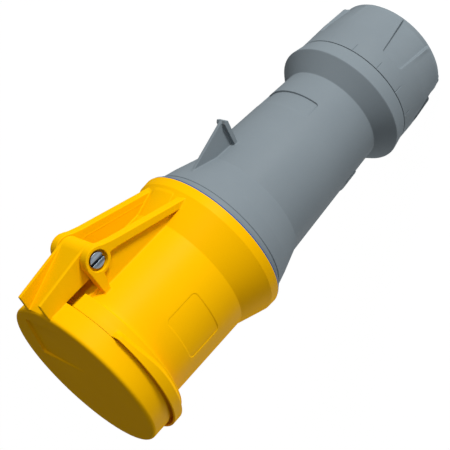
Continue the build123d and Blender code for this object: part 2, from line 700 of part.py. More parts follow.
def joint_seal():
    """Flat seal ring between the handle's shoulder and the housing's flange."""
    return ring(SPIGOT_R + SLIDE_ROOM, FLANGE_R - JOINT_SEAL_INSET, Z_JOINT - JOINT_SEAL, Z_JOINT)


def handle_form():
    """Turned form of the handle: threaded end, collar, grip, bell and spigot, hollow right through."""
    top = Z_JOINT - JOINT_SEAL
    bore_low = GRIP_REAR_R - HANDLE_WALL
    return turned([
        (GLAND_BORE_R, Z_THREAD_END), (THREAD_R, Z_THREAD_END), (THREAD_R, Z_SEAM), (COLLAR_REAR_R, Z_SEAM),
        (COLLAR_CREST_R, Z_CREST), (GRIP_REAR_R, Z_GRIP), (GRIP_FRONT_R, Z_SHOULDER), (SHOULDER_R, Z_BELL),
        (BELL_R, Z_BAND), (BAND_R, Z_BAND), (BAND_R, top), (SPIGOT_R, top),
        (SPIGOT_R, Z_JOINT + SPIGOT_LENGTH),
        (SPIGOT_R - HANDLE_WALL, Z_JOINT + SPIGOT_LENGTH), (SPIGOT_R - HANDLE_WALL, Z_BAND),
        (SHOULDER_R - HANDLE_WALL, Z_BELL), (GRIP_FRONT_R - HANDLE_WALL, Z_SHOULDER), (bore_low, Z_GRIP),
        (bore_low, Z_STOP + STOP_THICKNESS), (CLAMP_BORE_R, Z_STOP + STOP_THICKNESS), (CLAMP_BORE_R, Z_STOP),
        (GLAND_BORE_R, Z_STOP),
    ], [((COLLAR_CREST_R, Z_CREST), CREST_ROUND), ((SHOULDER_R, Z_BELL), BELL_ROUND),
        ((GRIP_FRONT_R, Z_SHOULDER), SHOULDER_ROUND)])


def handle_fin():
    """Catch fin on the hinge side: a thin web with a wider plate along its rear edge."""
    front = Z_JOINT - FIN_FRONT
    top = Z_JOINT - FIN_TOP
    rear = top - FIN_PLATE
    foot = GRIP_FRONT_R - HANDLE_WALL
    tip = FIN_HEIGHT - FIN_TAPER
    web = outline([
        (SHOULDER_R - FIN_TAPER, front), (FIN_HEIGHT, top), (tip, rear), (foot, rear), (foot, front),
    ])
    plate = outline([(FIN_HEIGHT, top), (tip, rear), (foot, rear + FIN_TAPER), (foot, top + FIN_TAPER)])
    return slab(web, -FIN_WEB / 2, FIN_WEB / 2) + slab(plate, -FIN_PLATE_WIDTH / 2, FIN_PLATE_WIDTH / 2)


def grip_radius(height):
    """Outer radius of the grip at a height."""
    return between(GRIP_REAR_R, GRIP_FRONT_R, (height - Z_GRIP) / GRIP_LENGTH)


def grip_layer(offset, middle, half):
    """Sector of a ring from one side of the grip's surface to an offset on the other side."""
    low = Z_JOINT - FIELD_FAR
    high = Z_JOINT - FIELD_NEAR
    inner, outer = sorted([offset, CUT if offset < 0 else -WELD])
    layer = turned([
        (grip_radius(low) + inner, low), (grip_radius(low) + outer, low),
        (grip_radius(high) + outer, high), (grip_radius(high) + inner, high),
    ])
    return layer & sector(middle, half, low, high)


def handle():
    """The grey handle, one moulding."""
    bore = turned([
        (0, Z_GRIP), (GRIP_REAR_R - HANDLE_WALL, Z_GRIP), (GRIP_FRONT_R - HANDLE_WALL, Z_SHOULDER),
        (SHOULDER_R - HANDLE_WALL, Z_BELL), (0, Z_BELL),
    ])
    body = handle_form() + (handle_fin() - bore)
    body += grip_layer(PAD_HEIGHT, 180, PAD_HALF_ANGLE)
    return body - grip_layer(-FIELD_DEPTH, 0, FIELD_HALF_ANGLE)


def nut_blank():
    """Turned form of the gland nut with its two bores."""
    return turned([
        (NUT_MOUTH_R, 0), (NUT_REAR_R, 0), (NUT_WAIST_R, NUT_WAIST_Z), (NUT_FRONT_R, NUT_LENGTH),
        (NUT_BORE_R, NUT_LENGTH), (NUT_BORE_R, NUT_FLOOR), (NUT_MOUTH_R, NUT_FLOOR),
    ], [((NUT_REAR_R, 0), NUT_REAR_ROUND), ((NUT_MOUTH_R, 0), NUT_HOLE_ROUND)])


def panel_core():
    """Nut form lowered by the depth of the grip panels."""
    rear_r = NUT_REAR_R - PANEL_DEPTH
    return turned([
        (0, -CUT), (rear_r, -CUT), (rear_r, 0), (NUT_WAIST_R - PANEL_DEPTH, NUT_WAIST_Z),
        (NUT_FRONT_R - PANEL_DEPTH, NUT_LENGTH), (0, NUT_LENGTH),
    ])


def grip_panels():
    """Recesses of the nut's grip panels, each wider at the rear and open to the rear rim."""
    left = (-PANEL_FRONT_WIDTH / 2, PANEL_LENGTH)
    right = (PANEL_FRONT_WIDTH / 2, PANEL_LENGTH)
    flat = outline([
        (-PANEL_REAR_WIDTH / 2, -CUT), (PANEL_REAR_WIDTH / 2, -CUT), right, left,
    ], [(right, PANEL_ROUND), (left, PANEL_ROUND)])
    core = panel_core()
    prism = extrude(Plane.YZ * flat, NUT_FRONT_R + CUT)
    angles = [PANEL_PHASE + 360 / PANEL_COUNT * i for i in range(PANEL_COUNT)]
    return [facing(a) * prism - core for a in angles]


def gland_nut():
    """The grey cap nut of the cable gland."""
    body = nut_blank()
    for recess in grip_panels():
        body -= recess
    nick = Box(NICK_DEPTH + CUT, NICK_WIDTH, NICK_LENGTH, align=(Align.MIN, Align.CENTER, Align.MIN))
    for i in range(NICK_COUNT):
        place = facing(NICK_PHASE + 360 / NICK_COUNT * i)
        body -= place * Pos(NUT_FRONT_R - NICK_DEPTH, 0, NUT_LENGTH - NICK_LENGTH) * nick
    return body


def finger_radius(height):
    """Outer radius of the clamp's fingers at a height."""
    return between(FINGER_TIP_R, CLAMP_R, (height - Z_FINGER_TIP) / (Z_FINGER_ROOT - Z_FINGER_TIP))


def gland_washer():
    """Slip ring in the nut, which pushes the clamp's fingers in without turning them."""
    high = NUT_FLOOR + WASHER_HEIGHT
    outer = NUT_BORE_R - SLIDE_ROOM
    return turned([
        (finger_radius(NUT_FLOOR) + SLIDE_ROOM, NUT_FLOOR), (outer, NUT_FLOOR), (outer, high),
        (finger_radius(high) + SLIDE_ROOM, high),
    ])


def gland_clamp():
    """Strain relief: a ring of tapered fingers round the cable seal."""
    body = turned([
        (CLAMP_BORE_R, Z_FINGER_TIP), (FINGER_TIP_R, Z_FINGER_TIP), (CLAMP_R, Z_FINGER_ROOT),
        (CLAMP_R, Z_STOP), (CLAMP_BORE_R, Z_STOP),
    ])
    slot_length = Z_FINGER_ROOT - Z_FINGER_TIP
    slot = Box(2 * (CLAMP_R + CUT), FINGER_SLOT, slot_length, align=(Align.CENTER, Align.CENTER, Align.MIN))
    for i in range(FINGER_COUNT // 2):
        body -= Pos(0, 0, Z_FINGER_TIP) * Rot(0, 0, 360 / FINGER_COUNT * i) * slot
    return body


def gland_seal():
    """Rubber sleeve that the gland squeezes onto the cable, seen in the nut's rear hole."""
    neck = NUT_MOUTH_R - SLIDE_ROOM
    return turned([
        (SEAL_R, 0), (neck, 0), (neck, Z_FINGER_TIP), (SEAL_OUTER_R, Z_FINGER_TIP),
        (SEAL_OUTER_R, Z_STOP + SEAL_FLANGE), (SEAL_R, Z_STOP + SEAL_FLANGE),
    ])


def parts():
    """Every sub-part by its node name."""
    found = {
        "socket_shell": socket_shell(),
        "hinge_pin": hinge_pin(),
        "lid": lid(),
        "lid_gasket": lid_gasket(),
        "lid_spring": lid_spring(),
        "contact_insert": contact_insert(),
        "contact_carrier": contact_carrier(),
        "contact_rings": contact_rings(),
        "terminal_screws": terminal_screws(),
        "insert_screws": insert_screws(),
        "joint_seal": joint_seal(),
        "handle": handle(),
        "gland_nut": gland_nut(),
        "gland_washer": gland_washer(),
        "gland_clamp": gland_clamp(),
        "gland_seal": gland_seal(),
    }
    for name, pin_r, terminal_r, wire_r, (x, y) in contact_sizes():
        found[name] = contact(pin_r, terminal_r, wire_r, x, y)
    return found


os.makedirs("parts", exist_ok=True)
for node, solid in parts().items():
    export_step(solid, f"parts/{node}.step")
    print(node, round(solid.volume / 1000, 2), "cm3")
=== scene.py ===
# %% [markdown]
# # An industrial cable coupler in Blender
#
# The coupler is a heavy round connector: a yellow housing under a hinged lid, a grey handle and a
# grey gland nut. Its solids were drawn in CAD and come in as a fixed frame. This lesson dresses
# them: each outer moulding gets a finer surface worked out with numpy, and every part gets a finish
# made of shader nodes.
#
# Lengths below are in millimetres, and they become metres where a mesh is made. The cable axis is
# Z, the lid is at the top and its hinge is on the -Y side. Angles round the axis count from the
# hinge side towards -X.

# %% Load the frame
import json
from math import cos, radians, sin

import bpy
import numpy as np
from mathutils import Matrix, Vector


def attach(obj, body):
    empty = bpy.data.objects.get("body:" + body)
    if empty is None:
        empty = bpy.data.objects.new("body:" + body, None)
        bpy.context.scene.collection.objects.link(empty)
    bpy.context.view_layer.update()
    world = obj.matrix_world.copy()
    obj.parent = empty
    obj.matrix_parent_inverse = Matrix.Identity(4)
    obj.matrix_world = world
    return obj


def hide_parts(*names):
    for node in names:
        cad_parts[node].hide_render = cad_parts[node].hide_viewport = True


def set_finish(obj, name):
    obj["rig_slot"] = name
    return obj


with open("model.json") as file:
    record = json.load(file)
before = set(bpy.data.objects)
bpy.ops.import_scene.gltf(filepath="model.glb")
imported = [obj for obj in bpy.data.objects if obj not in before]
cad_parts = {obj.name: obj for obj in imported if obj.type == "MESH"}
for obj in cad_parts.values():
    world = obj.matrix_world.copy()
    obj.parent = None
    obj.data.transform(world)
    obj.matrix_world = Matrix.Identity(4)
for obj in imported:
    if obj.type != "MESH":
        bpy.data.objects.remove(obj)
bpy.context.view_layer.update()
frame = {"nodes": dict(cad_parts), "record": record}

# %% [markdown]
# ## The camera
#
# A product picture is taken with a long lens from far away, so its perspective is mild. The camera
# stands in front of the lid on the hinge side. It is rolled well over, because the picture shows
# the coupler lying along a diagonal, while here it stands on its gland nut. The small shift moves
# the picture on the film, as a view camera does.

# %% Camera
place = Vector((-0.53460, -0.41767, 0.46013))
aim = Vector((-0.003056, 0.003617, 0.175646))
roll = radians(136.880)

forward = (aim - place).normalized()
level = forward.cross(Vector((0, 0, 1))).normalized()
upright = level.cross(forward)
up = cos(roll) * upright + sin(roll) * level
right = forward.cross(up)
camera = bpy.data.objects.new("camera", bpy.data.cameras.new("camera"))
turn = Matrix((right, up, -forward)).transposed()
camera.matrix_world = Matrix.Translation(place) @ turn.to_4x4()
camera.data.lens = 96.225
camera.data.sensor_width = 36
camera.data.shift_x = -0.01332
camera.data.shift_y = 0.01413
bpy.context.scene.collection.objects.link(camera)
bpy.context.scene.camera = camera
print("camera", round((aim - place).length, 3), "m from its aim")

# %% [markdown]
# ## Turned forms
#
# Housing, lid, handle and nut are round, so each is a profile carried round the axis. Moulded
# plastic has no knife edges: every corner of the profile becomes a small arc. A close point before
# and after each arc keeps the flats flat when Blender blends the shading. Points are spaced by
# angle, and bands of finer spacing go where a detail needs them.

# %% Profiles and angles
MM = 0.001
NEARLY_STRAIGHT = 1.56


def rounded(corners, steps=5, support=0.1):
    """Closed outline of (a, b, radius) corners: each corner becomes an arc that touches both sides.

    The arc starts at radius / tan(half) from the corner, where half is half of the corner's angle.
    A radius of 0 and a corner that is nearly straight leave one point.
    """
    corners = np.array(corners, float)
    rows = []
    for i, (a, b, radius) in enumerate(corners):
        here = np.array([a, b])
        before = corners[i - 1, :2] - here
        after = corners[(i + 1) % len(corners), :2] - here
        u, v = before / np.hypot(*before), after / np.hypot(*after)
        half = np.arccos(np.clip(u @ v, -1, 1)) / 2
        if radius == 0 or half > NEARLY_STRAIGHT:
            rows.append(here[None])
            continue
        cut = radius / np.tan(half)
        centre = here + (u + v) / np.hypot(*(u + v)) * radius / np.sin(half)
        start, end = here + u * cut, here + v * cut
        sweep = np.pi - 2 * half
        t = np.linspace(0, 1, steps + 1)[:, None]
        spokes = np.sin((1 - t) * sweep) * (start - centre) + np.sin(t * sweep) * (end - centre)
        arc = centre + spokes / np.sin(sweep)
        rows += [(start + u * support)[None], arc, (end + v * support)[None]]
    return np.concatenate(rows)


def filled(profile, longest, bands=()):
    """The closed profile with points added: none further apart than longest, and closer in bands of height.

    Spans less than 0.5 mm high get no bands, and points closer together than 0.04 mm are left out.
    """
    rows = []
    for start, end in zip(profile, np.roll(profile, -1, axis=0)):
        span = end - start
        t = np.linspace(0, 1, max(2, int(np.ceil(np.hypot(*span) / longest)) + 1))
        if abs(span[1]) > 0.5:
            for low, high, step in bands:
                t = np.append(t, (np.arange(low, high, step) - start[1]) / span[1])
        t = np.unique(t[(t >= 0) & (t < 1)])
        t = t[np.append(True, np.diff(t) * np.hypot(*span) > 0.04)]
        rows.append(start + t[:, None] * span)
    return np.concatenate(rows)


def angles(step, bands=()):
    """Angles right round in radians: one every step of degrees, and closer in bands."""
    values = np.arange(0, 360, step)
    for low, high, fine in bands:
        values = np.append(values, np.arange(low, high, fine) % 360)
    values = np.unique(np.round(values, 4))
    return np.radians(values[np.append(True, np.diff(values) > 0.05)])


def ease(value, low, high):
    """Smooth step from 0 below low to 1 above high."""
    t = np.clip((value - low) / (high - low), 0, 1)
    return t * t * (3 - 2 * t)


def soft_box(across, along, half_across, half_along, radius):
    """Signed distance to a rounded rectangle: negative inside."""
    q = np.abs(across) - half_across + radius
    w = np.abs(along) - half_along + radius
    return np.hypot(np.maximum(q, 0), np.maximum(w, 0)) + np.minimum(np.maximum(q, w), 0) - radius


print("profile helpers ready")

# %% [markdown]
# ## From arrays to a mesh
#
# A mesh is a list of points and a list of faces that name them. Both are written in one call from
# numpy arrays. The volume that the faces enclose tells which way they point: if it comes out
# negative, every face is turned round. Each point's normal is the sum of its faces' normals by
# area, so big flats stay flat and small arcs take the bend.

# %% Mesh maker
def face_sums(points, quads):
    """Normal of each quad, as long as its area: half the cross product of its diagonals."""
    a, b, c, d = (points[quads[:, i]] for i in range(4))
    return np.cross(c - a, d - b) / 2


def volume(points, quads):
    """Volume inside closed quads: a third of the sum of centre times normal."""
    return (points[quads].mean(axis=1) * face_sums(points, quads)).sum() / 3


def make_piece(name, points, quads, body, slot, nodes, normals=None):
    """Makes a closed mesh of points in millimetres, in place of CAD nodes, and lets it ride on a body."""
    if volume(points, quads) < 0:
        quads = quads[:, ::-1]
    if normals is None:
        sums = face_sums(points, quads)
        shares = [np.bincount(quads.ravel(), np.repeat(sums[:, i], 4), len(points)) for i in range(3)]
        normals = np.stack(shares, axis=1)
    normals = normals / np.maximum(np.linalg.norm(normals, axis=1), 1e-12)[:, None]
    again = (quads == np.roll(quads, 1, axis=1))
    corners = quads[~again]
    sizes = 4 - again.sum(axis=1)
    mesh = bpy.data.meshes.new(name)
    mesh.vertices.add(len(points))
    mesh.vertices.foreach_set("co", (points * MM).astype(np.float32).ravel())
    mesh.loops.add(len(corners))
    mesh.loops.foreach_set("vertex_index", corners.astype(np.int32))
    mesh.polygons.add(len(quads))
    mesh.polygons.foreach_set("loop_start", np.append(0, np.cumsum(sizes)[:-1]).astype(np.int32))
    mesh.update(calc_edges=True)
    mesh.shade_smooth()
    mesh.normals_split_custom_set_from_vertices(normals.tolist())
    piece = bpy.data.objects.new(name, mesh)
    bpy.context.scene.collection.objects.link(piece)
    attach(piece, body)
    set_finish(piece, slot)
    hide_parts(*nodes)
    print(name, len(points), "points,", int((sizes - 2).sum()), "triangles")
    return piece


def turned_surface(profile, turns, shape=None):
    """Points and quads of a closed profile of (radius, height) carried round the axis.

    Point (i, j) is at angle turns[i] on row j: x = -r sin(angle), y = -r cos(angle). A shape function gives
    new radii and heights from radius, height and angle. Rows on the axis become one point each.
    """
    a = np.broadcast_to(turns[:, None] if turns.ndim == 1 else turns, (len(turns), len(profile)))
    r = np.broadcast_to(profile[:, 0], a.shape)
    z = np.broadcast_to(profile[:, 1], a.shape)
    if shape:
        r, z = shape(r, z, a)
    points = np.stack([-r * np.sin(a), -r * np.cos(a), z], axis=-1)
    number = np.arange(a.size).reshape(a.shape)
    number = np.where(profile[:, 0] == 0, number[0], number)
    ring, row = np.roll(number, -1, axis=0), np.roll(number, -1, axis=1)
    both = np.roll(ring, -1, axis=1)
    quads = np.stack([number, ring, both, row], axis=-1).reshape(-1, 4)
    on_axis = (profile[:, 0] == 0) & (np.roll(profile[:, 0], -1) == 0)
    quads = quads[np.tile(~on_axis, len(turns))]
    used, quads = np.unique(quads, return_inverse=True)
    return points.reshape(-1, 3)[used], quads.reshape(-1, 4)


print("mesh maker ready")

# %% [markdown]
# ## Moulded forms
#
# Ears, arm and fin aren't round, and they flow into what carries them with small fillets. Such a
# form is easiest as a distance field: a function that is negative inside the plastic. Two fields
# join with a fillet by a rounded minimum, and meet with a rounded edge by a rounded maximum. A grid
# finds where the field changes sign, each cell that it crosses gets one point, and a few Newton
# steps move that point exactly onto the surface.

# %% Distance fields
def join(a, b, fillet):
    """Union with a hollow fillet: the smaller field, less a circle's arc where both are near zero."""
    u, v = np.maximum(fillet - a, 0), np.maximum(fillet - b, 0)
    return np.maximum(fillet, np.minimum(a, b)) - np.hypot(u, v)


def meet(a, b, edge):
    """What both have in common, with a rounded edge: the mirror image of join."""
    return -join(-a, -b, edge)


def side_outline(out, up, corners, steps=4):
    """Signed distance in the hinge's side view to a closed outline of (out, up, radius) corners.

    It is the distance to the nearest side, and negative inside. Each side that a line from the point
    crosses changes the point from outside to inside or back.
    """
    p = rounded(corners, steps, support=0)
    distance = np.full(np.shape(out), np.inf)
    outside = np.ones(np.shape(out), bool)
    for (ax, ay), (bx, by) in zip(p, np.roll(p, -1, axis=0)):
        ex, ey = bx - ax, by - ay
        if ex == ey == 0:
            continue
        wx, wy = out - ax, up - ay
        t = np.clip((wx * ex + wy * ey) / (ex * ex + ey * ey), 0, 1)
        distance = np.minimum(distance, (wx - t * ex) ** 2 + (wy - t * ey) ** 2)
        over, below = ay > up, by > up
        turn = ex * wy - ey * wx
        outside ^= (over != below) & ((turn > 0) == (by > ay))
    return np.where(outside, 1, -1) * np.sqrt(distance)


def skin(field, low, high, step):
    """Points, quads and normals of the surface where a field is zero, with one point in each grid cell.

    A cell's first point is the mean of the places where the surface crosses its edges. Then each Newton
    step moves it along the field's slope by field / slope squared.
    """
    axes = [np.arange(a, b + step, step) for a, b in zip(low, high)]
    value = field(*np.meshgrid(*axes, indexing="ij"))
    solid = value < 0
    shape = np.array(value.shape) - 1
    corner = np.array([(i, j, k) for i in (0, 1) for j in (0, 1) for k in (0, 1)])
    full = sum(solid[i:i + shape[0], j:j + shape[1], k:k + shape[2]].astype(int)
               for i, j, k in corner)
    cell = np.argwhere((full > 0) & (full < 8))
    number = np.full(shape, -1)
    number[tuple(cell.T)] = np.arange(len(cell))
    at = value[tuple((cell[:, None] + corner).reshape(-1, 3).T)].reshape(-1, 8)
    total, hits = np.zeros((len(cell), 3)), np.zeros(len(cell))
    for a, b in [(a, b) for a in range(8) for b in range(a) if abs(corner[a] - corner[b]).sum() == 1]:
        crossed = (at[:, a] < 0) != (at[:, b] < 0)
        share = at[:, a] / np.where(crossed, at[:, a] - at[:, b], 1)
        total += crossed[:, None] * (corner[a] + share[:, None] * (corner[b] - corner[a]))
        hits += crossed
    points = np.array([axis[0] for axis in axes]) + step * (cell + total / hits[:, None])
    quads = []
    for axis in range(3):
        u, v = np.roll(np.eye(3, dtype=int), -axis, axis=0)[1:]
        first, second = np.moveaxis(solid, axis, 0)[:-1], np.moveaxis(solid, axis, 0)[1:]
        order = [axis] + [i for i in range(3) if i != axis]
        n = np.zeros((int((first != second).sum()), 3), int)
        n[:, order] = np.argwhere(first != second)
        n = n[((n @ u > 0) & (n @ v > 0) & (n @ u < shape @ u) & (n @ v < shape @ v))]
        loop = np.stack([number[tuple((n - s).T)] for s in (u + v, v, 0 * u, u)], axis=1)
        out = solid[tuple(n.T)]
        quads.append(np.where(out[:, None], loop, loop[:, ::-1]))
    probe = 0.02
    tiny = probe * np.eye(3)
    for _ in range(4):
        slope = np.stack([field(*(points + d).T) - field(*(points - d).T) for d in tiny], 1)
        slope = slope / (2 * probe)
        size = np.maximum((slope ** 2).sum(axis=1), 0.2)
        points = points - np.clip(field(*points.T) / size, -step / 2, step / 2)[:, None] * slope
    slope = np.stack([field(*(points + d).T) - field(*(points - d).T) for d in tiny], 1)
    return points, np.concatenate(quads), slope


def rooted(form, base, fillet, reach, sink=0.35):
    """A form that grows out of a base with a fillet.

    Past the fillet the skin of the base dives under by sink, so that the piece ends out of sight inside
    the plastic that carries it.
    """
    grown = join(form, base + sink * ease(form, fillet + 0.2, reach) - 0.02, fillet)
    return np.maximum(np.maximum(grown, form - reach), -(base + 2.0))


print("field helpers ready")

# %% [markdown]
# ## The housing
#
# One yellow moulding: flange, skirt, barrel and mouth collar, turned round the axis, with a label
# field sunk into the barrel, a lip outside the lid except beside the hinge, and a keyway in the
# bore. A groove runs inside the lip and gets deeper away from the hinge. The collar stops short of
# the hinge, so there its radius drops under the hinge moulding, which hides the change. The first
# lines give heights along the axis and radii for all the mouldings.

# %% Heights and radii of the coupler
# Heights above the nut's rear end, and radii of the turned mouldings
SEAM, CREST, GRIP, SHOULDER, BELL, BAND, JOINT = 47.7, 58.5, 69.7, 156.2, 175.5, 186.8, 190.2
FLANGE, BARREL_START, COLLAR, MOUTH, RIM, FACE = 196.2, 216.2, 279.2, 289.6, 289.7, 303.7
SHELF, SHELF_TOP, BORE_R, INSERT_R, BARREL_R, MOUTH_R = 208.2, 216.2, 42.0, 35.3, 45.3, 53.0
LIP_R, LIP_INNER_R, LIP_TOP, LIP_REAR, FLANGE_R, SKIRT_R = 56.2, 54.9, 289.2, 6.8, 52.5, 52.2
# Angles of the lip in degrees from the hinge, and how far its rear edge slides in millimetres
LIP_START, LIP_RAMP, SLIDE_FROM, SLIDE_TO, SLIDE = 47.5, 4.5, 50, 88, 3.8
GROOVE, GROOVE_R, SHELF_R, SOCKET_R, SOCKET_FLOOR = 3.0, 51.6, 44.18, 47.8, 201.2
# The pin's distance from the axis and its height, the label field and the keyway
PIN_OUT, PIN_UP = 60.9, 263.2
LABEL_AT, LABEL_HALF, LABEL_LOW, LABEL_HIGH, LABEL_ROUND, LABEL_DEEP = 88, 15.5, 235.2, 260.0, 3.0, 0.3
LABEL_MIDDLE = radians(LABEL_AT)
KEY_LONG, KEY_DEEP, KEY_HALF, KEY_FOOT = 70, 1.6, 3.9, 4.15

housing_profile = filled(rounded([
    (FLANGE_R, JOINT, 0.5), (SKIRT_R, FLANGE, 0.5), (BARREL_R, BARREL_START, 0.6), (BARREL_R, COLLAR, 0),
    (MOUTH_R, COLLAR, 0.6), (MOUTH_R, COLLAR + 1.2, 0.3), (LIP_R, MOUTH - LIP_REAR, 0.8),
    (LIP_R, LIP_TOP, 0.4), (LIP_INNER_R, LIP_TOP, 0.2), (LIP_INNER_R, MOUTH - GROOVE, 0),
    (GROOVE_R, MOUTH - GROOVE, 0), (GROOVE_R, MOUTH, 0.1), (BORE_R, MOUTH, 0.4), (BORE_R, SHELF_TOP, 0),
    (INSERT_R, SHELF_TOP, 0), (INSERT_R, SHELF, 0), (SHELF_R, SHELF, 0), (SOCKET_R, SOCKET_FLOOR, 0),
    (SOCKET_R, JOINT, 0),
], 5), 4.0, [(LABEL_LOW - 0.6, LABEL_LOW + 3.4, 0.22), (LABEL_HIGH - 3.4, LABEL_HIGH + 0.6, 0.22)])
label_edge = np.degrees(np.arcsin(LABEL_HALF / BARREL_R))
housing_turns = angles(1.5, [
    (LABEL_AT - label_edge - 0.8, LABEL_AT - label_edge + 4.4, 0.28),
    (LABEL_AT + label_edge - 4.4, LABEL_AT + label_edge + 0.8, 0.28),
    (46, 54, 0.3), (306, 314, 0.3), (173.8, 175.2, 0.2), (184.8, 186.2, 0.2),
    (19, 25, 0.5), (335, 341, 0.5),
])


def housing_shape(r, z, a):
    """Sinks the label field, cuts the keyway, and takes lip and collar away beside the hinge.

    The lip starts as a short ramp, LIP_START degrees from the hinge. Its rear edge moves back as it goes
    round: outer rows slide towards the mouth by SLIDE at first, and by nothing from SLIDE_TO degrees on.
    Over the same angles the groove inside the lip gets twice as deep.
    """
    from_hinge = np.degrees(np.abs((a + np.pi) % (2 * np.pi) - np.pi))
    away = np.where(from_hinge < 90, np.abs(np.sin(a)), 1)
    lip = np.clip((from_hinge - LIP_START) / LIP_RAMP, 0.02, 1)
    collar = ease(MOUTH_R * away, 17.5, 21.0)
    groove = (r > GROOVE_R - 0.1) & (r < LIP_INNER_R + 0.3) & (z > MOUTH - GROOVE - 0.1)
    outer = (r > MOUTH_R + 0.001) & (z > COLLAR) & ~groove
    behind = np.clip((LIP_TOP - z) / (LIP_TOP - MOUTH + LIP_REAR), 0, 1)
    shift = SLIDE * (1 - ease(from_hinge, SLIDE_FROM, SLIDE_TO)) * behind
    z = np.where(outer, z + shift, z)
    deeper = 1 + ease(from_hinge, SLIDE_FROM, SLIDE_TO) * (z < MOUTH - 1)
    z = np.where(groove | (z > MOUTH), MOUTH + (z - MOUTH) * lip * deeper, z)
    r = np.where((outer | groove) & (r > MOUTH_R), MOUTH_R + (r - MOUTH_R) * lip, r)
    r = np.where((r > 45) & (z > COLLAR - 0.01), 45.0 + (r - 45.0) * collar, r)
    gap = soft_box(BARREL_R * np.sin(a - LABEL_MIDDLE), z - (LABEL_LOW + LABEL_HIGH) / 2,
                   LABEL_HALF, (LABEL_HIGH - LABEL_LOW) / 2, LABEL_ROUND)
    field = (np.abs(r - BARREL_R) < 0.01) & (np.abs(a - LABEL_MIDDLE) < 1)
    r = r - LABEL_DEEP * field * (1 - ease(gap, -0.3, 0.0))
    key = (np.abs(r - BORE_R) < 0.01) & (z > MOUTH - KEY_LONG) & (np.cos(a) < 0)
    return r + KEY_DEEP * key * (1 - ease(np.abs(BORE_R * np.sin(a)), KEY_HALF, KEY_FOOT)), z


make_piece("housing_shell", *turned_surface(housing_profile, housing_turns, housing_shape),
           "housing", "yellow_plastic", ["socket_shell"])

# %% [markdown]
# ## The hinge moulding
#
# Two ears grow out of the skirt. In side view each is a beam that runs up to an eye round the pin,
# a leg from the eye back down to the barrel, and a thin web that fills the triangle between them,
# set in from the outer face. Low kerbs run on to the mouth beside the lid's arm, and a low pad lies
# on the skirt between the ears. All of it is one distance field with fillets, on both sides at once
# by working on the distance from the middle plane.

# %% Hinge ears
EAR_IN, EAR_OUT, EYE_R, HOLE_R = 11.5, 17.5, 8.5, 3.05
WEB_MIDDLE, WEB_HALF, KERB_MIDDLE, KERB_HALF, KERB_HIGH = 13.0, 1.5, 12.4, 0.9, 0.6
HEAD_ROOM_R, HEAD_ROOM_FROM, COLLAR_END = 6.3, 14.3, 15.4
PAD_MIDDLE, PAD_HALF, PAD_LONG_HALF, PAD_ROUND, PAD_HIGH = 217.2, 9.0, 20.0, 3.0, 0.3
EARS_SIDE, EARS_REAR = 23.5, 197.5
beam = [(42, 191.2, 0), (46.4, 191.2, 0), (64.0, 249.2, 20), (67.6, 258.5, 0), (PIN_OUT, PIN_UP, 0),
        (58.4, 249.2, 0)]
leg = [(PIN_OUT, 271.7, 0), (41, 270.6, 0), (41, 266.4, 0), (56.65, PIN_UP, 0)]
web = [(41, 191.2, 0), (42.5, 191.2, 0), (58.9, 249.2, 0), (PIN_OUT, PIN_UP, 0), (56.65, 267.45, 0),
       (41, 270.7, 0)]


def plain_radius(z):
    """Outer radius of skirt and barrel at a height, without the collar."""
    return np.interp(z, [FLANGE, BARREL_START], [SKIRT_R, BARREL_R])


def hinge_field(x, y, z):
    """Distance field of both ears, kerbs and collar ends, with the skin of skirt and barrel between them.

    Near its own border the skin dives under the turned housing, so that the border stays out of sight.
    """
    side, out = np.abs(x), -y
    eye = np.hypot(out - PIN_OUT, z - PIN_UP)
    thick = join(join(side_outline(out, z, beam), eye - EYE_R, 1.0), side_outline(out, z, leg), 0.8)
    ear = meet(thick, np.abs(side - (EAR_IN + EAR_OUT) / 2) - (EAR_OUT - EAR_IN) / 2, 0.5)
    plate = meet(side_outline(out, z, web), np.abs(side - WEB_MIDDLE) - WEB_HALF, 0.3)
    ear = join(ear, plate, 0.5)
    ear = meet(ear, -np.maximum(eye - HEAD_ROOM_R, HEAD_ROOM_FROM - side), 0.4)
    ear = np.maximum(ear, HOLE_R - eye)
    kerb = np.maximum(out - BARREL_R - KERB_HIGH, np.abs(side - KERB_MIDDLE) - KERB_HALF)
    kerb = meet(np.maximum(PIN_UP - z, z - MOUTH), kerb, 0.3)
    round_out = np.hypot(x, y)
    collar = meet(round_out - MOUTH_R, COLLAR - z, 0.6)
    collar = meet(collar, np.maximum(COLLAR_END - side, z - MOUTH), 0.3)
    dive = 0.35 * np.maximum(ease(side, 20.0, 23.4), ease(-z, -200.2, -197.6)) - 0.03
    pad = soft_box(side, z - PAD_MIDDLE, PAD_HALF, PAD_LONG_HALF, PAD_ROUND)
    barrel = meet(round_out - plain_radius(z), z - MOUTH, 0.4) + dive
    barrel = barrel - PAD_HIGH * (1 - ease(pad, -0.45, 0.0))
    body = join(barrel, collar + dive, 0.4)
    body = join(body, kerb, 0.3)
    body = join(body, ear, 0.7)
    body = np.maximum(body, np.maximum(side - EARS_SIDE, EARS_REAR - z))
    return np.maximum(body, plain_radius(z) - 2.0 - round_out)


points, quads, slope = skin(hinge_field, (-24.3, -70.6, 196.5), (24.3, -35.5, 291.0), 0.45)
make_piece("hinge_ears", points, quads, "housing", "yellow_plastic", ["socket_shell"], slope)

# %% [markdown]
# ## The hinge pin
#
# A steel pin reaches from the near ear into the far one, and its slotted head sits in the near
# ear's eye. Its edges are rounded and its slot is milled, so it is a field too: a disc and a bar
# along X, less the slot.

# %% Hinge pin
HEAD_R, HEAD_AT, HEAD_HALF, SHANK_R, SHANK_HALF = 4.9, 15.5, 1.2, 3.0, 14.3
SCREW_SLOT_HALF, SCREW_SLOT_FLOOR = 0.9, 14.6


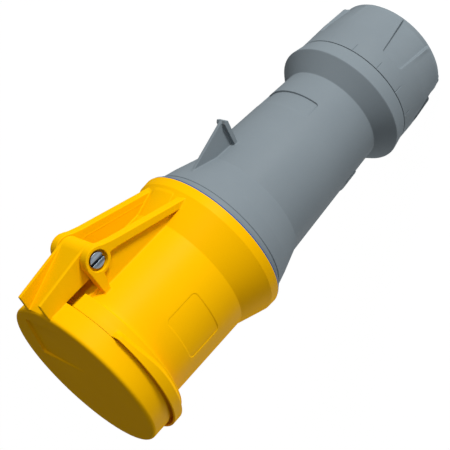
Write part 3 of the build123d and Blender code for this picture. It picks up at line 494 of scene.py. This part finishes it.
def pin_field(x, y, z):
    """Distance field of the pin: head, shank and a slot along Z."""
    eye = np.hypot(-y - PIN_OUT, z - PIN_UP)
    head = meet(eye - HEAD_R, np.abs(x + HEAD_AT) - HEAD_HALF, 0.5)
    shank = meet(eye - SHANK_R, np.abs(x) - SHANK_HALF, 0.3)
    slot = np.maximum(np.abs(y + PIN_OUT) - SCREW_SLOT_HALF, x + SCREW_SLOT_FLOOR)
    return meet(np.minimum(head, shank), -slot, 0.12)


points, quads, slope = skin(pin_field, (-17.5, -66.3, 257.8), (15.2, -55.5, 268.6), 0.24)
make_piece("slotted_pin", points, quads, "housing", "steel", ["hinge_pin"], slope)

# %% [markdown]
# ## The lid
#
# The lid is a shallow cap with a gasket groove under its rim. A shallow field is sunk into its
# face, deepest on one side, and the rings of the turned cap gather round its outline so that its
# edge is crisp. The arm has two thin cheeks, a floor that slopes down between them, and a knuckle
# round the pin. Under the floor there is a bay for the spring. The arm is a distance field that
# grows out of the cap's side.

# %% Lid cap and arm
FACE_R, RIB_IN, RIB_OUT, GASKET_R = 50.0, 41.0, 42.6, 50.0
FIELD_ROW, FIELD_LEAN, FIELD_DEEP, FIELD_POWER = 25.0, 0.31, 1.5, 18
FIELD_MIDDLE, FIELD_HALF = np.array([6.4, -24.0]), (22.8, 16.8)
cap_profile = filled(rounded([
    (0, FACE - 3, 0), (RIB_IN, FACE - 3, 0.5), (RIB_IN, RIM + 1, 0.3), (RIB_OUT, RIM + 1, 0.2),
    (RIB_OUT, RIM + 4, 0), (GASKET_R, RIM + 4, 0), (GASKET_R, RIM, 0.1), (MOUTH_R, RIM, 0.25),
    (MOUTH_R, FACE, 2.2), (FACE_R, FACE, 0),
    (FIELD_ROW + 0.3, FACE, 0), (FIELD_ROW, FACE, 0), (FIELD_ROW - 0.4, FACE, 0), (FIELD_ROW - 0.8, FACE, 0),
    (0, FACE, 0),
], 7), 4.0)


def sunk_field(points):
    """Gathers the rings of the lid's face round a leaning field and sinks its floor like a ramp.

    Each column keeps to one ray from the field's middle to the lid's round edge, so rings can't cross.
    Along it a ring goes in even steps from the edge to the field's outline, and then to the middle. The
    outline is a superellipse, (|u| / a)^n + (|v| / b)^n = 1, where u leans over as v grows. The depth
    grows in a straight line along u.
    """
    face = (points[:, 2] > FACE - 0.001) & (np.hypot(points[:, 0], points[:, 1]) < FACE_R - 0.001)
    x, y = points[face, 0], points[face, 1]
    r, t = np.hypot(x, y), np.arctan2(y, x)
    ray = FACE_R * np.stack([np.cos(t), np.sin(t)], 1) - FIELD_MIDDLE
    length = np.hypot(*ray.T)
    ray = ray / length[:, None]
    u, v = ray[:, 0] - FIELD_LEAN * ray[:, 1], ray[:, 1]
    sides = np.abs(u / FIELD_HALF[0]) ** FIELD_POWER + np.abs(v / FIELD_HALF[1]) ** FIELD_POWER
    reach = sides ** (-1 / FIELD_POWER)
    share = np.clip((FACE_R - r) / (FACE_R - FIELD_ROW), 0, 1)
    ring = np.where(r > FIELD_ROW, (1 - share) * length + share * reach, reach * r / FIELD_ROW)
    x, y = (FIELD_MIDDLE + ring[:, None] * ray).T
    lean = x - FIELD_MIDDLE[0] - FIELD_LEAN * (y - FIELD_MIDDLE[1])
    deep = FIELD_DEEP * np.clip((lean + FIELD_HALF[0]) / (2 * FIELD_HALF[0]), 0, 1)
    moved = points.copy()
    moved[face] = np.stack([x, y, FACE - deep * ease(FIELD_ROW - r, 0.1, 0.4)], 1)
    return moved


points, quads = turned_surface(cap_profile, angles(1.0))
make_piece("lid_cap", sunk_field(points), quads, "lid", "yellow_plastic", ["lid"])

CHEEK_HALF, WELL_HALF, BAY_HALF = 11.0, 8.8, 6.0
KNUCKLE_R, BAY_R, KNUCKLE_HOLE_R = 8.0, 5.4, 3.06
CAP_MIDDLE, CAP_HALF = 296.7, 7.0
cheek = [(50.0, 289.7, 0), (50.0, 302.7, 0), (52.8, 303.3, 0), (62.7, 303.3, 0.5), (68.803, 264.441, 0),
         (PIN_OUT, PIN_UP, 0), (52.0, 266.2, 1.5), (52.0, 289.7, 0)]
ramp = [(68.262, 266.33, 0), (52.8, 302.7, 0), (50.0, 302.7, 0), (50.0, 300.7, 0), (51.581, 298.922, 0),
        (65.87, 265.313, 0)]
bay = [(65.87, 265.313, 0), (59.61, 280.037, 0), (44.9, 280.037, 0), (44.9, 257.8, 0), (PIN_OUT, 257.8, 0),
       (PIN_OUT, PIN_UP, 0)]


def arm_field(x, y, z):
    """Distance field of the lid's arm: two cheeks and a sloping floor, less spring bay and pin hole.

    It joins a strip of the cap's side, which dives under the turned cap at both ends.
    """
    side, out = np.abs(x), -y
    eye = np.hypot(out - PIN_OUT, z - PIN_UP)
    floor = np.minimum(side_outline(out, z, ramp), eye - KNUCKLE_R)
    plate = meet(np.minimum(floor, side_outline(out, z, cheek)), side - CHEEK_HALF, 0.45)
    arm = meet(plate, join(floor, WELL_HALF - side, 0.6), 0.4)
    hollow = np.minimum(eye - BAY_R, side_outline(out, z, bay))
    arm = meet(arm, -np.maximum(hollow, side - BAY_HALF), 0.3)
    arm = np.maximum(arm, KNUCKLE_HOLE_R - eye)
    round_out = np.hypot(x, y)
    cap = meet(round_out - MOUTH_R, np.abs(z - CAP_MIDDLE) - CAP_HALF, 0.3)
    cap = cap + 0.25 * ease(side, 12.2, 14.5) - 0.02
    skirt = np.maximum(cap, np.maximum(side - 15.0, 50.6 - round_out))
    under_face = np.maximum(skirt, z - 301.2)
    return join(arm, under_face, 0.5)


points, quads, slope = skin(arm_field, (-15.8, -70.0, 254.0), (15.8, -46.5, 305.0), 0.36)
make_piece("lid_arm", points, quads, "lid", "yellow_plastic", ["lid"], slope)

# %% [markdown]
# ## The handle
#
# The grey handle is turned: a plain end inside the nut, a collar, a slim grip that widens to a
# bell, and a band at the flange, with a fine line cut round it. A shallow field on the hinge side
# carries raised words on the real one. It stays bare here, and so does a low pad opposite. The
# catch fin on the hinge side is a thin web with a wider plate along its rear edge.

# %% Handle
FIELD_LOW, FIELD_HIGH, FIELD_ROUND, PAD_RISE = JOINT - 101.0, JOINT - 87.6, 2.5, 0.7
GRIP_R, FIELD_SPAN, PAD_SPAN, LINE_AT, LINE_DEEP = 38.0, radians(38), radians(52), 185.5, 0.55
END, BAND_TOP, SPIGOT_TOP, NECK_R, SPIGOT_R, BAND_R = 14.2, 189.4, 200.2, 36.9, 47.5, 50.3
handle_profile = filled(rounded([
    (28.3, END, 0), (NECK_R, END, 0.5), (NECK_R, SEAM, 0), (43.3, SEAM, 0.3), (45.4, CREST, 1.0),
    (35.3, GRIP, 0.8), (41.0, SHOULDER + 2, 1.5), (46.0, BELL - 1.2, 0.8), (49.2, BAND, 0.3),
    (BAND_R, BAND, 0.2), (BAND_R, BAND_TOP, 0.3), (SPIGOT_R, BAND_TOP, 0), (SPIGOT_R, SPIGOT_TOP, 0.3),
    (44.5, SPIGOT_TOP, 0.3), (44.5, BAND, 0), (43.4, BELL, 0), (37.6, SHOULDER, 0), (32.3, GRIP, 0),
    (32.3, 53.3, 0), (23.8, 53.3, 0), (23.8, 47.3, 0), (28.3, 47.3, 0),
], 5), 5.0, [
    (FIELD_LOW - 0.8, FIELD_LOW + 3.2, 0.22), (FIELD_LOW + 3.2, FIELD_HIGH + 1.0, 0.8), (183.9, 187.0, 0.2),
])
handle_turns = angles(1.5, [(34, 39.4, 0.25), (320.6, 326, 0.25), (126.5, 131, 0.3), (229, 233.5, 0.3)])
handle_first = np.flatnonzero(handle_profile[:, 1] >= GRIP + 0.5)[0]
handle_last = np.flatnonzero(handle_profile[:, 1] >= BAND - 0.3)[0]
grip_rows = handle_profile[handle_first:handle_last]


def handle_shape(r, z, a):
    """Sinks the field on the hinge side, raises the pad opposite, and cuts the line at the band.

    The field's depth in millimetres is the square root of how far a row lies behind the field's front
    end, as a share of its length.
    """
    outer = r > 35.0
    from_hinge = np.abs((a + np.pi) % (2 * np.pi) - np.pi)
    middle, half = (FIELD_LOW + FIELD_HIGH) / 2, (FIELD_HIGH - FIELD_LOW) / 2
    gap = soft_box(GRIP_R * from_hinge, z - middle, GRIP_R * FIELD_SPAN, half, FIELD_ROUND)
    depth = np.sqrt(np.clip((FIELD_HIGH - z) / (2 * half), 0, 1))
    pad = soft_box(GRIP_R * (np.pi - from_hinge), z - middle, GRIP_R * PAD_SPAN, half, FIELD_ROUND)
    depth *= (1 - ease(gap, -0.3, 0.0)) * (1 - ease(GRIP_R * (from_hinge - FIELD_SPAN), -1.2, 0.0))
    line = LINE_DEEP * (1 - ease(np.abs(z - LINE_AT), 0.7, 1.2))
    return r + outer * (PAD_RISE * (1 - ease(pad, -0.5, 0.0)) - depth - line), z


make_piece("handle_body", *turned_surface(handle_profile, handle_turns, handle_shape),
           "housing", "grey_plastic", ["handle"])

WEB_THICK_HALF, PLATE_HALF = 1.1, 3.8
fin_web = [(46.6, 176.4, 0), (56.9, 143.5, 0.4), (55.4, 140.9, 0.3), (36, 140.9, 0), (36, 176.4, 0)]
fin_plate = [(57.4, 142.6, 0.3), (55.9, 140.6, 0.3), (36, 142.0, 0), (36, 144.4, 0), (55.8, 144.0, 0.4)]


def fin_field(x, y, z):
    """Distance field of the catch fin, rooted in the handle's bell."""
    side, out = np.abs(x), -y
    sheet = meet(side_outline(out, z, fin_web), side - WEB_THICK_HALF, 0.3)
    plate = meet(side_outline(out, z, fin_plate), side - PLATE_HALF, 0.35)
    base = np.hypot(x, y) - np.interp(z, grip_rows[:, 1], grip_rows[:, 0])
    return rooted(join(sheet, plate, 0.6), base, 0.8, 3.4, 0.3)


points, quads, slope = skin(fin_field, (-7.8, -58.4, 136.5), (7.8, -34.0, 179.5), 0.3)
make_piece("catch_fin", points, quads, "housing", "grey_plastic", ["handle"], slope)

# %% [markdown]
# ## The gland nut
#
# The nut is turned too, with five sunk grip panels that widen to the rear, a low ridge along each
# side of a panel, and fourteen fine nicks at the front edge. A sunk panel only looks crisp if the
# grid runs along its sides. So the angles of the grid change with height: in the lower rows they
# follow the slanting sides of the panels, and near the front edge they slide over to the nicks.

# %% Gland nut
PANELS, PHASE, PANEL_TOP = 5, radians(58.2), 34.5
NICKS, NICK_PHASE, NICK_LENGTH, NUT_TOP = 14, radians(2.4), 7.0, 47.3
HOLE, NUT_FLOOR, NUT_BORE_R, NUT_FRONT_R = 23.2, 5, 37.2, 43.4
nut_profile = filled(rounded([
    (HOLE, 0, 1.0), (40.0, 0, 8.0), (42.8, 25, 30), (NUT_FRONT_R, NUT_TOP, 0.35), (NUT_BORE_R, NUT_TOP, 0.3),
    (NUT_BORE_R, NUT_FLOOR, 0), (HOLE, NUT_FLOOR, 0),
], 7), 4.0, [(4, 31.0, 1.5), (31.0, 35.4, 0.22), (35.4, 41.5, 0.45), (41.5, NUT_TOP - 0.6, 1.0)])


def panel_half(z):
    """Half width of a grip panel at a height: it narrows in a straight line from the rear to the front."""
    return np.interp(z, [-1, PANEL_TOP], [12.8, 8.3])


fine = np.arange(-1.2, 0.5, 0.16) / 11
shares = np.concatenate([np.linspace(0.06, 0.9, 8), 1 + fine, np.linspace(1.14, 1.97, 9)])
shares = np.sort(np.append(-shares, shares))[:, None]
edge = np.arcsin(panel_half(nut_profile[:, 1]) / 42.5)
beside = edge + (np.pi / PANELS - edge) * (np.abs(shares) - 1)
one_panel = np.sign(shares) * np.where(np.abs(shares) < 1, edge * np.abs(shares), beside)
panel_turns = np.concatenate([one_panel + PHASE + 2 * np.pi / PANELS * i for i in range(PANELS)])
columns = len(panel_turns)
across_nick = np.array([-0.75, -0.45, -0.3, -0.15, 0, 0.15, 0.3, 0.45, 0.75]) / NUT_FRONT_R
spare = columns // NICKS - len(across_nick)
to_next = np.linspace(across_nick[-1], 2 * np.pi / NICKS + across_nick[0], spare + 2)[1:-1]
one_nick = np.append(across_nick, to_next)
nick_turns = np.concatenate([one_nick + NICK_PHASE + 2 * np.pi / NICKS * i for i in range(NICKS)])
nick_turns = np.append(nick_turns, nick_turns[-1] + np.arange(1, columns - len(nick_turns) + 1) * 1e-3)
whole_nicks = np.round((panel_turns[:, 0].mean() - nick_turns.mean()) / (2 * np.pi / NICKS))
nick_turns += 2 * np.pi * whole_nicks / NICKS
to_nicks = ease(nut_profile[:, 1], PANEL_TOP + 0.6, NUT_TOP - NICK_LENGTH - 0.4)
to_nicks = to_nicks * (nut_profile[:, 0] > 37.3)
nut_turns = panel_turns * (1 - to_nicks) + nick_turns[:, None] * to_nicks
print("nut columns:", columns, "rows:", len(nut_profile))


def nut_shape(r, z, a):
    """Sinks the panels, raises a low ridge along each side of them, and cuts the nicks.

    A panel is deepest and its ridges are highest near the rear. Both fade out at the rear rim.
    """
    pitch = 2 * np.pi / PANELS
    across = np.abs(r * np.sin((a - PHASE + pitch / 2) % pitch - pitch / 2))
    q, w = across - panel_half(z) + 2.0, z - PANEL_TOP + 2.0
    gap = np.hypot(np.maximum(q, 0), np.maximum(w, 0)) + np.minimum(np.maximum(q, w), 0) - 2.0
    depth = np.interp(z, [0, PANEL_TOP], [2.4, 1.1]) * ease(z, 2.0, 4.5)
    depth *= (1 - ease(gap, -0.35, 0.05)) * (1 - ease(across - panel_half(z), -1.0, 0.05))
    rise = np.interp(z, [0, 9, 26], [1.5, 0.6, 0.0]) * ease(z, 3.0, 5.5)
    ridge = rise * (1 - ease(np.abs(across - panel_half(z) - 0.5), 0.3, 1.1))
    pitch = 2 * np.pi / NICKS
    off = np.abs(NUT_FRONT_R * np.sin((a - NICK_PHASE + pitch / 2) % pitch - pitch / 2))
    nick = 0.4 * (1 - ease(off, 0.15, 0.35))
    nick = nick * ease(z, NUT_TOP - NICK_LENGTH - 0.3, NUT_TOP - NICK_LENGTH + 1.5)
    return r - ease(r, 37.4, 40.5) * (depth - ridge + nick), z


make_piece("cap_nut_shell", *turned_surface(nut_profile, nut_turns, nut_shape),
           "cap_nut", "grey_plastic", ["gland_nut"])

# %% [markdown]
# ## Finishes
#
# A shader is a graph of nodes, and maths on its sockets reads best as Python. The small class below
# wraps a socket, so that + - and * add Math nodes, and one method adds any other node. Patterns
# read Object coordinates, which are metres on the object, so a scale of 1000 repeats about every
# millimetre.

# %% Shader helper
class Signal:
    """A socket of a shader tree. Arithmetic on it adds Math nodes, and make adds any other node."""

    def __init__(self, tree, socket=None):
        self.tree, self.socket = tree, socket

    def make(self, kind, inputs, output=0, stops=(), **settings):
        node = self.tree.nodes.new(kind)
        for name, value in settings.items():
            setattr(node, name, value)
        for i, (position, colour) in enumerate(stops):
            element = node.color_ramp.elements[i]
            element.position, element.color = position, colour
        for name, value in inputs.items():
            if isinstance(value, Signal):
                self.tree.links.new(value.socket, node.inputs[name])
            else:
                node.inputs[name].default_value = value
        return Signal(self.tree, node.outputs[output])

    def maths(self, operation, first, second):
        return self.make("ShaderNodeMath", {0: first, 1: second}, operation=operation)

    def __add__(self, other):
        return self.maths("ADD", self, other)

    def __mul__(self, other):
        return self.maths("MULTIPLY", self, other)

    def __sub__(self, other):
        return self.maths("SUBTRACT", self, other)

    __radd__ = __add__


def noise(signal, where, scale, detail=2.0):
    """Noise between 0 and 1 on a vector."""
    return signal.make("ShaderNodeTexNoise", {"Vector": where, "Scale": scale, "Detail": detail}, "Fac")


def blend(signal, share, first, second):
    """Colour between two colours."""
    inputs = {0: share, 6: (*first, 1), 7: (*second, 1)}
    return signal.make("ShaderNodeMix", inputs, 2, data_type="RGBA")


def finish(name, fixed, paint):
    """New material: fixed values on the shader's sockets, and the signals that paint returns for others."""
    material = bpy.data.materials.new(name)
    material.use_nodes = True
    tree = material.node_tree
    shader = tree.nodes["Principled BSDF"]
    for socket, value in fixed.items():
        shader.inputs[socket].default_value = value
    signal = Signal(tree)
    for socket, value in paint(signal).items():
        tree.links.new(value.socket, shader.inputs[socket])
    print("finish", name, len(tree.nodes), "nodes")
    return material


print("shader helpers ready")

# %% [markdown]
# ## Plastics, rubbers and metals
#
# The mouldings come out of spark-eroded steel tools, which leave a very fine even grain. The wall
# is never quite flat, and the pigment never quite even, so colour, roughness and bump each get a
# slow cloud besides the grain. The large yellow and grey mouldings are nearly matt, so they get no
# mirror-like gloss, only a thin soft coat. Rubber is coarser. Turned metal keeps the tool's rings,
# which are noise squeezed along the axis of turning. On the steel pin the rings also carry painted
# light: bright streaks of painted reflection and bands of painted shade in its colour.

# %% Finishes
def moulded(name, light, dark, roughness, grain=1300.0, relief=0.25, specular=0.3, coat=0.0):
    """Moulded plastic: cloudy pigment, fine grain, and roughness that varies a little.

    Its sheen is a plain gloss, specular, or a thin soft coat.
    """
    def paint(s):
        where = s.make("ShaderNodeTexCoord", {}, "Object")
        cloud, grains, wave = noise(s, where, 22.0, 3.0), noise(s, where, grain), noise(s, where, 70.0)
        height = grains + wave * 1.5
        bump = s.make("ShaderNodeBump", {"Strength": relief, "Distance": 0.00006, "Height": height})
        return {"Base Color": blend(s, (cloud - 0.5) * 1.6 + 0.35 + (grains - 0.5) * 0.5, light, dark),
                "Roughness": roughness + (cloud - 0.5) * 0.16 + (grains - 0.5) * 0.12, "Normal": bump}
    fixed = {"Specular IOR Level": specular, "Coat Weight": coat, "Coat Roughness": 0.4}
    return finish(name, fixed, paint)


def rubber(name, light, dark):
    """Matt rubber with a coarse bloom."""
    def paint(s):
        where = s.make("ShaderNodeTexCoord", {}, "Object")
        bloom, pores = noise(s, where, 90.0, 4.0), noise(s, where, 1800.0)
        bump = s.make("ShaderNodeBump", {"Strength": 0.4, "Distance": 0.00008, "Height": pores})
        return {"Base Color": blend(s, bloom, dark, light),
                "Roughness": 0.72 + (bloom - 0.5) * 0.3, "Normal": bump}
    return finish(name, {"Specular IOR Level": 0.25}, paint)


def turned_metal(name, light, dark, squeeze, roughness):
    """Metal with the rings of a lathe: squeeze is the pattern's scale along each axis.

    With light and dark far apart, as on the steel, the rings also paint reflection streaks and shade
    into the colour.
    """
    def paint(s):
        where = s.make("ShaderNodeTexCoord", {}, "Object")
        drawn = s.make("ShaderNodeMapping", {"Vector": where, "Scale": squeeze})
        rings, stain = noise(s, drawn, 1.0, 4.0), noise(s, where, 160.0, 3.0)
        bump = s.make("ShaderNodeBump", {"Strength": 0.3, "Distance": 0.00004, "Height": rings})
        # On the steel these colour bands are painted reflection streaks and painted shade, besides the
        # lathe's rings.
        return {"Base Color": blend(s, (stain - 0.5) * 0.6 + (rings - 0.5) * 2.4 + 0.5, light, dark),
                "Roughness": roughness + (rings - 0.5) * 0.3, "Normal": bump}
    return finish(name, {"Metallic": 1.0}, paint)


yellow = moulded("amber_yellow_plastic", (0.91, 0.475, 0.0), (0.865, 0.44, 0.0), 0.5,
                 specular=0.0, coat=0.04)
grey = moulded("slate_grey_plastic", (0.194, 0.228, 0.250), (0.174, 0.206, 0.228), 0.5,
               specular=0.0, coat=0.08)
insulator = moulded("insulator_plastic", (0.045, 0.048, 0.052), (0.03, 0.033, 0.037), 0.5, 900.0)
clamp = moulded("clamp_plastic", (0.62, 0.62, 0.58), (0.52, 0.52, 0.48), 0.5)
seal = rubber("blue_grey_rubber", (0.06, 0.12, 0.30), (0.03, 0.07, 0.19))
sleeve = rubber("black_rubber", (0.05, 0.05, 0.05), (0.02, 0.02, 0.022))
# Painted reflection and shade: the steel's light colour is a bright reflection streak and its dark colour a
# shade, laid into the colour in streaks by the rings.
steel = turned_metal("zinced_steel_painted_streaks", (0.40, 0.47, 0.54), (0.05, 0.07, 0.09),
                     (300.0, 700.0, 40.0), 0.3)
spring = turned_metal("spring_steel", (0.50, 0.50, 0.52), (0.33, 0.33, 0.36),
                      (500.0, 500.0, 500.0), 0.3)
brass = turned_metal("contact_brass", (0.80, 0.60, 0.27), (0.62, 0.43, 0.17),
                     (60.0, 60.0, 2400.0), 0.28)

finishes = {
    "yellow_plastic": yellow, "grey_plastic": grey, "insert_plastic": insulator,
    "clamp_plastic": clamp, "seal_rubber": seal, "gland_rubber": sleeve,
    "steel": steel, "spring_steel": spring, "contact_brass": brass,
}
for piece in [o for o in bpy.data.objects if o.type == "MESH" and not o.data.materials]:
    piece.data.materials.append(finishes[piece["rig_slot"]])
for subpart in frame["record"]["subparts"]:
    node = frame["nodes"][subpart["node"]]
    for holder in node.material_slots:
        holder.material = finishes[subpart["material_slot"]]

# %% [markdown]
# ## Floor and light
#
# The picture has a white ground. White light from all round would wash the colours out, so the
# floor and the world look white only to the camera and in reflections, and things get a faint part
# of that light. The rest comes from three square lamps: a strong key on the camera's side, a weaker
# one that picks out the edges, and a fill behind. In the picture the lid's face and the slopes that
# look the same way are dark, so key and fill stand lower than the floor, and the floor lets the
# light of all three through.

# %% Floor, world and lamps
def seen(s):
    """1 for rays from the camera, off gloss or through glass, and 0 for the light that falls on things.

    It is the sum of those three marks of a ray, and never more than 1.
    """
    path = s.make("ShaderNodeLightPath", {}, "Is Camera Ray")
    glossy = Signal(s.tree, path.socket.node.outputs["Is Glossy Ray"])
    through = Signal(s.tree, path.socket.node.outputs["Is Transmission Ray"])
    return s.maths("MINIMUM", path + glossy + through, 1.0)


FLOOR_GLOW, FLOOR_GLOW_SHARE, FLOOR_SEEN_MORE = 1.21, 0.28, 0.52
WORLD_LIGHT, WORLD_SEEN_MORE, LAMP_AIM = 0.19, 0.81, 0.18
floor_mesh = bpy.data.meshes.new("floor")
floor_mesh.from_pydata([(-4, -4, 0), (4, -4, 0), (4, 4, 0), (-4, 4, 0)], [], [(0, 1, 2, 3)])
floor = bpy.data.objects.new("floor", floor_mesh)
bpy.context.scene.collection.objects.link(floor)
floor.visible_shadow = False
paper = bpy.data.materials.new("white_paper")
paper.use_nodes = True
tree = paper.node_tree
tree.nodes.remove(tree.nodes["Principled BSDF"])
s = Signal(tree)
lit = s.make("ShaderNodeBsdfDiffuse", {"Color": (0.85, 0.85, 0.85, 1)})
glow = s.make("ShaderNodeEmission", {"Strength": FLOOR_GLOW})
share = seen(s) * FLOOR_SEEN_MORE + FLOOR_GLOW_SHARE
mixed = s.make("ShaderNodeMixShader", {0: share, 1: lit, 2: glow})
tree.links.new(mixed.socket, tree.nodes["Material Output"].inputs["Surface"])
floor_mesh.materials.append(paper)

world = bpy.data.worlds.new("studio")
bpy.context.scene.world = world
world.use_nodes = True
s = Signal(world.node_tree)
strength = WORLD_LIGHT + seen(s) * WORLD_SEEN_MORE
background = world.node_tree.nodes["Background"]
world.node_tree.links.new(strength.socket, background.inputs["Strength"])
background.inputs["Color"].default_value = (1, 1, 1, 1)


def lamp(name, direction, distance, size, power):
    """Square area lamp at a distance in a direction from the middle of the coupler, which it looks at."""
    data = bpy.data.lights.new(name, "AREA")
    data.size, data.energy = size, power
    lamp_object = bpy.data.objects.new(name, data)
    middle = Vector((0, 0, LAMP_AIM))
    way = Vector(direction).normalized()
    lamp_object.location = middle + way * distance
    lamp_object.rotation_mode = "QUATERNION"
    lamp_object.rotation_quaternion = way.to_track_quat("Z", "Y")
    lamp_object.visible_camera = False
    bpy.context.scene.collection.objects.link(lamp_object)
    print("lamp", name, power, "W at", [round(v, 2) for v in lamp_object.location])


lamp("key", (-0.44, -0.82, -0.36), 1.4, 0.3, 17.3)
lamp("edge", (-0.49, -0.85, 0.19), 1.4, 0.2, 3.0)
lamp("fill", (0.0, 0.95, -0.30), 1.4, 0.6, 8.0)

bpy.context.scene.view_settings.view_transform = "Standard"
